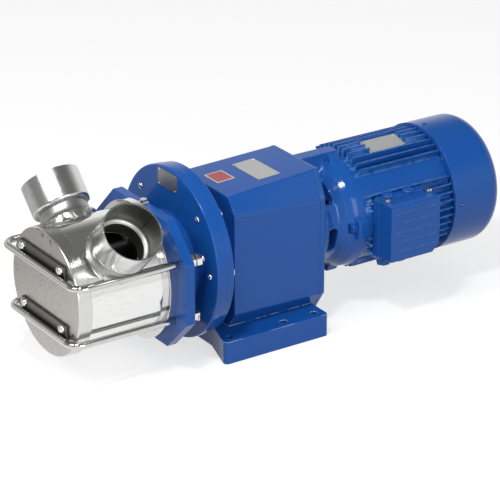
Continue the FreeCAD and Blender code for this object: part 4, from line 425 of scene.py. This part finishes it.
mirror = steel("mirror_steel", MIRROR, MIRROR_DULL,
               stretch=(0.2, 1, 1), lines=220.0, shiny=0.08, matt=0.13, edge=0.001, strength=0.02)
tube_steel = steel("tube_steel", (0.66, 0.66, 0.65), (0.52, 0.52, 0.51),
                   stretch=(1, 1, 1), lines=60.0, shiny=0.20, matt=0.30, edge=0.0004, strength=0.02)
inside = steel("tube_inside", INSIDE, INSIDE_DULL,
               stretch=(1, 1, 1), lines=160.0, shiny=0.38, matt=0.50, edge=0.0006, strength=0.1)
finish_nodes(("pump_body",), mirror)
for name, side in (("suction_port", -1), ("delivery_port", 1)):
    tube = smooth_copy(name, name + "_tube", "polished_steel", tube_steel, inside, angle=38)
    outward = Vector((0, side * math.sin(PORT_TURN), math.cos(PORT_TURN)))
    for face in tube.data.polygons:
        reach = face.center - Vector(PORT_MIDDLE)
        along = reach.dot(outward)
        radius = (reach - outward * along).length
        if radius < TUBE_BORE and along < RIM_LEVEL:
            face.material_index = 1

SEAM_TURN = math.radians(68)
SEAM_START, SEAM_END, SEAM_HALF, SEAM_REACH = 0.131, 0.1885, 0.0007, 0.0488
tint = steel("weld_tint", (0.16, 0.15, 0.14), (0.09, 0.085, 0.08),
             stretch=(1, 1, 1), lines=300.0, shiny=0.3, matt=0.45, edge=0.0003)
for name, side in (("suction", -1), ("delivery", 1)):
    outward = Vector((0, side * math.sin(PORT_TURN), math.cos(PORT_TURN)))
    across = Vector((0, -side * math.cos(PORT_TURN), math.sin(PORT_TURN)))
    sideways = Vector((math.sin(SEAM_TURN), 0, 0)) + across * math.cos(SEAM_TURN)
    foot = Vector(PORT_MIDDLE) + SEAM_REACH * sideways
    bpy.ops.object.select_all(action="DESELECT")
    bpy.ops.mesh.primitive_cylinder_add(vertices=10, radius=SEAM_HALF, depth=SEAM_END - SEAM_START)
    seam = bpy.context.object
    seam.name = name + "_weld_seam"
    bpy.ops.object.mode_set(mode="EDIT")
    bpy.ops.mesh.select_all(action="SELECT")
    bpy.ops.mesh.bevel(offset=SEAM_HALF * 0.4, segments=1)
    bpy.ops.object.mode_set(mode="OBJECT")
    turn = outward.to_track_quat("Z", "Y").to_matrix().to_4x4()
    seam.data.transform(Matrix.Translation(foot + outward * (SEAM_START + SEAM_END) / 2) @ turn)
    seam.data.materials.append(tint)
    smooth(seam, 60)
    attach(seam, "base")


# The front cover
# A round plate turned from stainless steel, left satin on its face, with the marks of many
# cleanings, and held by nothing but the two bars.
COVER_FACE, COVER_EDGE = -0.3735, 0.0016

pitted, given, result = effect(
    "pits_and_scratches",
    [("Size", "Float", 60.0), ("Share", "Float", 0.2), ("Shade", "Float", 0.4)],
    [("Color", "Color")])
where = pitted.nodes.new("ShaderNodeTexCoord").outputs["Object"]
cells = pitted.nodes.new("ShaderNodeTexVoronoi")
join_up(pitted, (where, cells.inputs["Vector"]), (given["Size"], cells.inputs["Scale"]))
chance = noise_on(pitted, cells.outputs["Position"], 7.0, 1.0)
chosen = math_node(pitted, "LESS_THAN", chance, given["Share"])
pit = math_node(pitted, "MULTIPLY", spread(pitted, cells.outputs["Distance"], 0.16, 0.10), chosen)
slanted = pitted.nodes.new("ShaderNodeVectorMath")
slanted.operation = "MULTIPLY"
slanted.inputs[1].default_value = (1.0, 0.12, 1.0)
join_up(pitted, (where, slanted.inputs[0]))
scratch = spread(pitted, noise_on(pitted, slanted.outputs[0], 420.0, 2.0), 0.68, 0.74)
patch = spread(pitted, noise_on(pitted, where, 16.0, 1.0), 0.52, 0.62)
shade = math_node(pitted, "MAXIMUM", pit, math_node(pitted, "MULTIPLY", scratch, patch))
tone = math_node(pitted, "SUBTRACT", 1.0, math_node(pitted, "MULTIPLY", shade, given["Shade"]))
grey = pitted.nodes.new("ShaderNodeCombineColor")
join_up(pitted, *((tone, socket) for socket in grey.inputs), (grey.outputs[0], result["Color"]))


def handling_marks(material, size, share, depth):
    """Adds small dark pits and short scratches to a finish."""
    tree = material.node_tree
    sockets = tree.nodes["Principled BSDF"].inputs
    marks = place_effect(tree, pitted, Size=size, Share=share, Shade=depth)
    before = sockets["Base Color"].links[0].from_socket
    darker = tree.nodes.new("ShaderNodeMix")
    darker.data_type, darker.blend_type = "RGBA", "MULTIPLY"
    darker.inputs[0].default_value = 1.0
    join_up(tree, (before, darker.inputs[6]), (marks.outputs["Color"], darker.inputs[7]),
            (darker.outputs[2], sockets["Base Color"]))


cover = steel("cover_steel", (0.46, 0.44, 0.415), (0.30, 0.285, 0.27),
              stretch=(1, 1, 1), lines=190.0, shiny=0.34, matt=0.50, edge=0.0012, strength=0.1)
turned = steel("turned_rim", (0.62, 0.62, 0.60), (0.50, 0.50, 0.48),
               stretch=(8, 1, 1), lines=90.0, shiny=0.24, matt=0.32, edge=0.0012, strength=0.06)
handling_marks(cover, size=42.0, share=0.52, depth=0.80)
plate = copy_of("pump_cover", "pump_cover_plate", cover, turned)
bevelled(plate, COVER_EDGE, steps=3)
for face in plate.data.polygons:
    if face.center.x > COVER_FACE and abs(face.normal.x) < 0.95:
        face.material_index = 1
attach(plate, "base")
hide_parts("pump_cover")


# The bars that hold the cover
# Two bent round rods of stainless steel, each with a flat clamp bar behind it. Two domed socket
# screws through each clamp bar press on the cover.
BAR_FRONT, BAR_BACK, BAR_HALF, BAR_EDGE = -0.3789, -0.3745, 0.074, 0.0011
CLAMP_BARS = (("upper_clamp_bar", 0.2015, 0.2265), ("lower_clamp_bar", 0.0965, 0.1225))
SCREW_SIDE, SCREW_LEVELS = 0.062, (0.218, 0.1145)
SCREW_RADIUS, SCREW_HEIGHT, SCREW_SOCKET = 0.0075, 0.0068, 0.0028
DOME_RINGS = ((0.93, 0.55), (0.78, 0.78), (0.58, 0.93), (0.40, 1.0))

rod_steel = steel("rod_steel", (0.56, 0.56, 0.55), (0.42, 0.42, 0.41),
                  stretch=(0.3, 1, 1), lines=300.0, shiny=0.08, matt=0.20, edge=0.0004)
for name in ("upper_stirrup", "lower_stirrup"):
    smooth_copy(name, name + "_rod", "satin_steel", rod_steel)
dark_bar = steel("dark_bar", (0.14, 0.13, 0.12), (0.09, 0.085, 0.08),
                 stretch=(1, 0.3, 1), lines=260.0, shiny=0.30, matt=0.45, edge=0.0006)
for name, low, high in CLAMP_BARS:
    bpy.ops.object.select_all(action="DESELECT")
    middle = ((BAR_FRONT + BAR_BACK) / 2, 0, (low + high) / 2)
    bpy.ops.mesh.primitive_cube_add(size=1, location=middle)
    bar = bpy.context.object
    bar.name = name + "_flat"
    bar.scale = (BAR_BACK - BAR_FRONT, 2 * BAR_HALF, high - low)
    bpy.ops.object.transform_apply(location=True, rotation=True, scale=True)
    bevelled(bar, BAR_EDGE, steps=3)
    bar.data.materials.append(dark_bar)
    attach(bar, "base")
    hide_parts(name)


def select_faces(piece, test):
    """In edit mode, selects the faces that pass a test of their middle and normal."""
    bpy.ops.mesh.select_all(action="DESELECT")
    mesh = bmesh.from_edit_mesh(piece.data)
    for face in mesh.faces:
        if test(face.calc_center_median(), face.normal):
            face.select_set(True)
    mesh.select_flush(True)
    bmesh.update_edit_mesh(piece.data)


def domed_head(name, radius, height, socket_radius=0.0, sides=24):
    """A domed head standing on z = 0 with its axis up, drawn up in rings, with a round socket."""
    bpy.ops.object.select_all(action="DESELECT")
    rim = height * 0.3
    bpy.ops.mesh.primitive_cylinder_add(
        vertices=sides, radius=radius, depth=rim, location=(0, 0, rim / 2))
    head = bpy.context.object
    head.name = name
    bpy.ops.object.mode_set(mode="EDIT")
    select_faces(head, lambda middle, normal: normal.z > 0.9)
    width, level = 1.0, rim
    for share, rise in DOME_RINGS:
        bpy.ops.mesh.extrude_region_move(TRANSFORM_OT_translate={"value": (0, 0, height * rise - level)})
        bpy.ops.transform.resize(value=(share / width, share / width, 1), center_override=(0, 0, 0))
        width, level = share, height * rise
    if socket_radius:
        scale = socket_radius / (radius * width)
        bpy.ops.mesh.extrude_region_move(TRANSFORM_OT_translate={"value": (0, 0, 0)})
        bpy.ops.transform.resize(value=(scale, scale, 1), center_override=(0, 0, 0))
        bpy.ops.mesh.extrude_region_move(TRANSFORM_OT_translate={"value": (0, 0, -height * 0.55)})
    bpy.ops.object.mode_set(mode="OBJECT")
    bpy.ops.object.transform_apply(location=True, rotation=True, scale=True)
    smooth(head, 40)
    return head


def spread_copies(first, name, places, direction):
    """Copies a piece that stands on z = 0 to places, turned to a direction, as one object."""
    turn = Vector(direction).to_track_quat("Z", "Y").to_matrix().to_4x4()
    made = []
    for place in places:
        piece = first.copy()
        piece.data = first.data.copy()
        piece.data.transform(Matrix.Translation(Vector(place)) @ turn)
        scene.collection.objects.link(piece)
        made.append(piece)
    bpy.data.objects.remove(first)
    bpy.ops.object.select_all(action="DESELECT")
    for piece in made:
        piece.select_set(True)
    bpy.context.view_layer.objects.active = made[0]
    if len(made) > 1:
        bpy.ops.object.join()
    made[0].name = name
    return made[0]


screw_steel = steel("screw_steel", (0.74, 0.74, 0.73), (0.5, 0.5, 0.5),
                    stretch=(1, 1, 1), lines=400.0, shiny=0.10, matt=0.24, edge=0.0004)
screw = domed_head("clamp_screw", SCREW_RADIUS, SCREW_HEIGHT, SCREW_SOCKET)
screw.data.materials.append(screw_steel)
places = [(BAR_FRONT, side * SCREW_SIDE, level) for side in (-1, 1) for level in SCREW_LEVELS]
screws = spread_copies(screw, "clamp_screw_heads", places, (-1, 0, 0))
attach(screws, "base")
finish_nodes(("clamp_screws", "bar_nuts", "disc_studs", "disc_nuts", "plate_clip", "lid_screws"),
             screw_steel)


# The threaded bar ends
# Each rod ends in a rolled thread behind the support plate, with a second nut that locks the first.
THREAD_START, THREAD_END = -0.1625, -0.1460
THREAD_RADIUS, THREAD_PITCH, THREAD_WAIST = 0.0056, 0.0015, 0.88
THREAD_FOOT, THREAD_TIP, TIP_SHARE = 0.0002, 0.0006, 0.85
NUT_START, NUT_END, NUT_RADIUS, NUT_EDGE = -0.1615, -0.1525, 0.0108, 0.0006
NUT_RING, NUT_CHAMFER, NUT_RISE = 0.0012, 0.0014, 0.0006
ROD_ENDS = [(side * y, z) for side in (-1, 1) for y, z in ((0.1210, 0.2040), (0.1060, 0.0985))]

bpy.ops.object.select_all(action="DESELECT")
bpy.ops.mesh.primitive_cylinder_add(
    vertices=20, radius=THREAD_RADIUS, depth=THREAD_FOOT, location=(0, 0, THREAD_FOOT / 2))
thread = bpy.context.object
thread.name = "rolled_thread"
bpy.ops.object.mode_set(mode="EDIT")
select_faces(thread, lambda middle, normal: normal.z > 0.9)
level = THREAD_FOOT
while level < THREAD_END - THREAD_START:
    for scale in (THREAD_WAIST, 1 / THREAD_WAIST):
        bpy.ops.mesh.extrude_region_move(TRANSFORM_OT_translate={"value": (0, 0, THREAD_PITCH / 2)})
        bpy.ops.transform.resize(value=(scale, scale, 1), center_override=(0, 0, 0))
        level += THREAD_PITCH / 2
bpy.ops.mesh.extrude_region_move(TRANSFORM_OT_translate={"value": (0, 0, THREAD_TIP)})
bpy.ops.transform.resize(value=(TIP_SHARE, TIP_SHARE, 1), center_override=(0, 0, 0))
bpy.ops.object.mode_set(mode="OBJECT")
bpy.ops.object.transform_apply(location=True, rotation=True, scale=True)
smooth(thread, 30)
thread.data.materials.append(screw_steel)
places = [(THREAD_START, y, z) for y, z in ROD_ENDS]
threads = spread_copies(thread, "rod_threads", places, (1, 0, 0))
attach(threads, "base")

bpy.ops.object.select_all(action="DESELECT")
depth = NUT_END - NUT_START
bpy.ops.mesh.primitive_cylinder_add(
    vertices=6, radius=NUT_RADIUS, depth=depth, location=(0, 0, depth / 2))
nut = bpy.context.object
nut.name = "lock_nut"
bpy.ops.object.mode_set(mode="EDIT")
select_faces(nut, lambda middle, normal: abs(normal.z) > 0.9)
bpy.ops.mesh.inset(thickness=NUT_RING, depth=0.0)
bpy.ops.mesh.inset(thickness=NUT_CHAMFER, depth=NUT_RISE)
bpy.ops.object.mode_set(mode="OBJECT")
bpy.ops.object.transform_apply(location=True, rotation=True, scale=True)
bevelled(nut, NUT_EDGE)
nut.data.materials.append(screw_steel)
places = [(NUT_START, y, z) for y, z in ROD_ENDS]
nuts = spread_copies(nut, "lock_nuts", places, (1, 0, 0))
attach(nuts, "base")


# The screws of the big disc
# Socket screws with low domed heads, left bright, that hold the disc to the gearbox flange. The one
# at the top lies under the bare plate.
DISC_FACE, DISC_LEVEL, SCREW_CIRCLE, SCREW_COUNT = -0.1346, 0.170, 0.126, 8
DISC_SCREW = {"radius": 0.0052, "height": 0.0030, "socket_radius": 0.0022}
disc_screw = domed_head("disc_screw", **DISC_SCREW)
disc_screw.data.materials.append(screw_steel)
turns = [i * 2 * math.pi / SCREW_COUNT for i in range(1, SCREW_COUNT)]
places = [(DISC_FACE, SCREW_CIRCLE * math.sin(turn), DISC_LEVEL + SCREW_CIRCLE * math.cos(turn))
          for turn in turns]
disc_screws = spread_copies(disc_screw, "disc_screw_heads", places, (-1, 0, 0))
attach(disc_screws, "base")


# The rubber impeller and the seals
# Black nitrile rubber, moulded, with rounded vane tips. The impeller is seen through the ports,
# and one of its vanes lies bent under the cam.
def moulded(name, light, deep, gloss, grain):
    """A moulded rubber or plastic finish."""
    material, tree, sockets = finish(name)
    coat = place_effect(tree, sprayed, Coat=light, Deep=deep, Blotch=30.0, Grain=grain, Gloss=gloss)
    join_up(tree, (coat.outputs["Color"], sockets["Base Color"]),
            (coat.outputs["Roughness"], sockets["Roughness"]))
    eased_edges(tree, sockets, 0.0006, coat.outputs["Height"], strength=0.3)
    return material


rubber = moulded("black_rubber", (0.022, 0.022, 0.022), (0.012, 0.012, 0.012), gloss=0.42, grain=700.0)
wheel = copy_of("impeller", "impeller_rubber", rubber)
bevelled(wheel, 0.0006, angle=40)
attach(wheel, "output")
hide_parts("impeller")
finish_nodes(("cover_ring", "seal_bellows", "output_oil_seal", "input_oil_seal"), rubber)
satin = steel("satin_steel", (0.52, 0.51, 0.48), (0.38, 0.37, 0.35),
              stretch=(1, 1, 1), lines=260.0, shiny=0.28, matt=0.42, edge=0.0012, strength=0.08)
finish_nodes(("impeller_insert", "cam"), satin)


# The gears, shafts and motor core
# Hobbed and ground steel inside the gearbox, stacked sheet and varnished copper inside the motor.
# They show only when the machine is opened.
machined = steel("machined_steel", (0.45, 0.45, 0.46), (0.3, 0.3, 0.31),
                 stretch=(1, 6, 6), lines=120.0, shiny=0.22, matt=0.4, edge=0.0004)
finish_nodes(("output_shaft", "output_gear", "intermediate_shaft", "intermediate_gear", "rotor_shaft",
      "output_front_bearing", "output_rear_bearing", "layshaft_bearings", "motor_bearings",
      "stator_core", "rotor_core", "bearing_wall", "seal_seat", "seal_ring"), machined)
copper = steel("copper_wire", (0.60, 0.25, 0.10), (0.40, 0.15, 0.06),
               stretch=(8, 1, 1), lines=90.0, shiny=0.3, matt=0.45, edge=0.0003)
finish_nodes(("stator_windings",), copper)


# The bare plates and the red label
# Thin sheet with a low pressed border, held by small rivets at the corners. The label on the
# gearbox is red with a pale border.
RIVET_RADIUS, RIVET_HEIGHT, RIVET_INSET = 0.0017, 0.0011, 0.0045
BORDER, BORDER_STEP, BORDER_DROP, LABEL_BORDER = 0.0016, 0.0005, 0.0002, 0.0022
bare = steel("bare_sheet", (0.40, 0.40, 0.39), (0.30, 0.30, 0.29),
             stretch=(1, 8, 1), lines=150.0, shiny=0.32, matt=0.46, edge=0.0003)
anodised, tree, sockets = finish("anodised_sheet", Metallic=0.35)
marks = place_effect(tree, polished, Steel=(0.50, 0.51, 0.50), Dull=(0.42, 0.43, 0.42),
                     Stretch=(1, 8, 1), Lines=150.0, Smooth=0.35, Rough=0.5)
join_up(tree, (marks.outputs["Color"], sockets["Base Color"]),
        (marks.outputs["Roughness"], sockets["Roughness"]))
eased_edges(tree, sockets, 0.0003, marks.outputs["Height"], strength=0.05, depth=0.0001)
red = moulded("red_sheet", (0.40, 0.07, 0.075), (0.34, 0.055, 0.06), gloss=0.3, grain=900.0)
pale_print = moulded("pale_border", (0.62, 0.60, 0.56), (0.55, 0.53, 0.50), gloss=0.35, grain=900.0)


def plate_corners(piece, direction):
    """The four corners of a sheet's outer face, drawn inwards, for its rivets."""
    face = max(piece.data.polygons, key=lambda f: f.normal.dot(direction) * f.area)
    corners = [piece.data.vertices[i].co.copy() for i in face.vertices]
    middle = sum(corners, Vector()) / len(corners)
    inwards = RIVET_INSET * 1.414
    return [c + (middle - c).normalized() * inwards for c in corners], face.normal.copy()


def riveted(node, direction, material):
    """A bare sheet with its rivets and a low pressed border."""
    sheet = copy_of(node, node + "_sheet", material)
    places, normal = plate_corners(sheet, Vector(direction))
    bpy.ops.object.mode_set(mode="EDIT")
    select_faces(sheet, lambda middle, face_normal: face_normal.dot(normal) > 0.99)
    bpy.ops.mesh.inset(thickness=BORDER)
    bpy.ops.mesh.inset(thickness=BORDER_STEP, depth=-BORDER_DROP)
    bpy.ops.object.mode_set(mode="OBJECT")
    smooth(sheet, 20)
    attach(sheet, "base")
    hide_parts(node)
    rivet = domed_head(node + "_rivet", RIVET_RADIUS, RIVET_HEIGHT, sides=12)
    rivet.data.materials.append(screw_steel)
    rivets = spread_copies(rivet, node + "_rivets", places, normal)
    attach(rivets, "base")


riveted("disc_plate", (-1, 0, 0), bare)
riveted("silver_plate", (0, 0, 1), anodised)
riveted("motor_nameplate", (0, -0.2, 1), anodised)

label = copy_of("red_label", "red_label_sheet", pale_print, red)
bpy.ops.object.mode_set(mode="EDIT")
select_faces(label, lambda middle, normal: normal.z > 0.9)
bpy.ops.mesh.inset(thickness=LABEL_BORDER)
bpy.context.object.active_material_index = 1
bpy.ops.object.material_slot_assign()
bpy.ops.object.mode_set(mode="OBJECT")
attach(label, "base")
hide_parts("red_label")


# The terminal box fittings and the fan
# Moulded plastic: the cable gland and the blanking plug below the box, the plug painted over with
# the box, the terminal block in it, and the fan behind the grille. A black rubber gasket lies
# under the lid, and two painted plugs close the top of the box.
GASKET_LOW, GASKET_HIGH, GASKET_RIM = (0.2157, -0.1184, 0.1177), (0.3193, -0.1176, 0.2203), 0.006
PLUG_RADIUS, PLUG_HEIGHT, PLUG_SIDES, PLUG_EDGE = 0.0105, 0.0060, 28, 0.0005
TOP_PLUGS = [(0.2390, -0.1085, 0.2220), (0.2820, -0.1085, 0.2220)]

plastic = moulded("black_plastic", (0.03, 0.03, 0.03), (0.018, 0.018, 0.018), gloss=0.4, grain=900.0)
finish_nodes(("fan", "terminal_block"), plastic)
grey = moulded("grey_plastic", (0.35, 0.36, 0.38), (0.28, 0.29, 0.31), gloss=0.4, grain=900.0)
finish_nodes(("cable_gland",), grey)

wide, deep, tall = (b - a for a, b in zip(GASKET_LOW, GASKET_HIGH))
middle = (GASKET_LOW[0] + wide / 2, GASKET_LOW[1], GASKET_LOW[2] + tall / 2)
bpy.ops.object.select_all(action="DESELECT")
bpy.ops.mesh.primitive_plane_add(size=1, location=middle, rotation=(math.pi / 2, 0, 0))
gasket = bpy.context.object
gasket.name = "box_gasket"
gasket.scale = (wide, tall, 1)
bpy.ops.object.transform_apply(location=True, rotation=True, scale=True)
bpy.ops.object.mode_set(mode="EDIT")
bpy.ops.mesh.select_all(action="SELECT")
bpy.ops.mesh.inset(thickness=GASKET_RIM)
bpy.ops.mesh.delete(type="FACE")
bpy.ops.mesh.select_all(action="SELECT")
bpy.ops.mesh.extrude_region_move(TRANSFORM_OT_translate={"value": (0, deep, 0)})
bpy.ops.mesh.select_all(action="SELECT")
bpy.ops.mesh.normals_make_consistent(inside=False)
bpy.ops.object.mode_set(mode="OBJECT")
gasket.data.materials.append(rubber)
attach(gasket, "base")

closed = copy_of("blanking_plug", "blanking_plug_painted", enamel)
bevelled(closed, PLUG_EDGE)
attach(closed, "base")
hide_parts("blanking_plug")
plug = domed_head("top_plug", PLUG_RADIUS, PLUG_HEIGHT, sides=PLUG_SIDES)
plug.data.materials.append(enamel)
plugs = spread_copies(plug, "top_plugs", TOP_PLUGS, (0, 0, 1))
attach(plugs, "base")
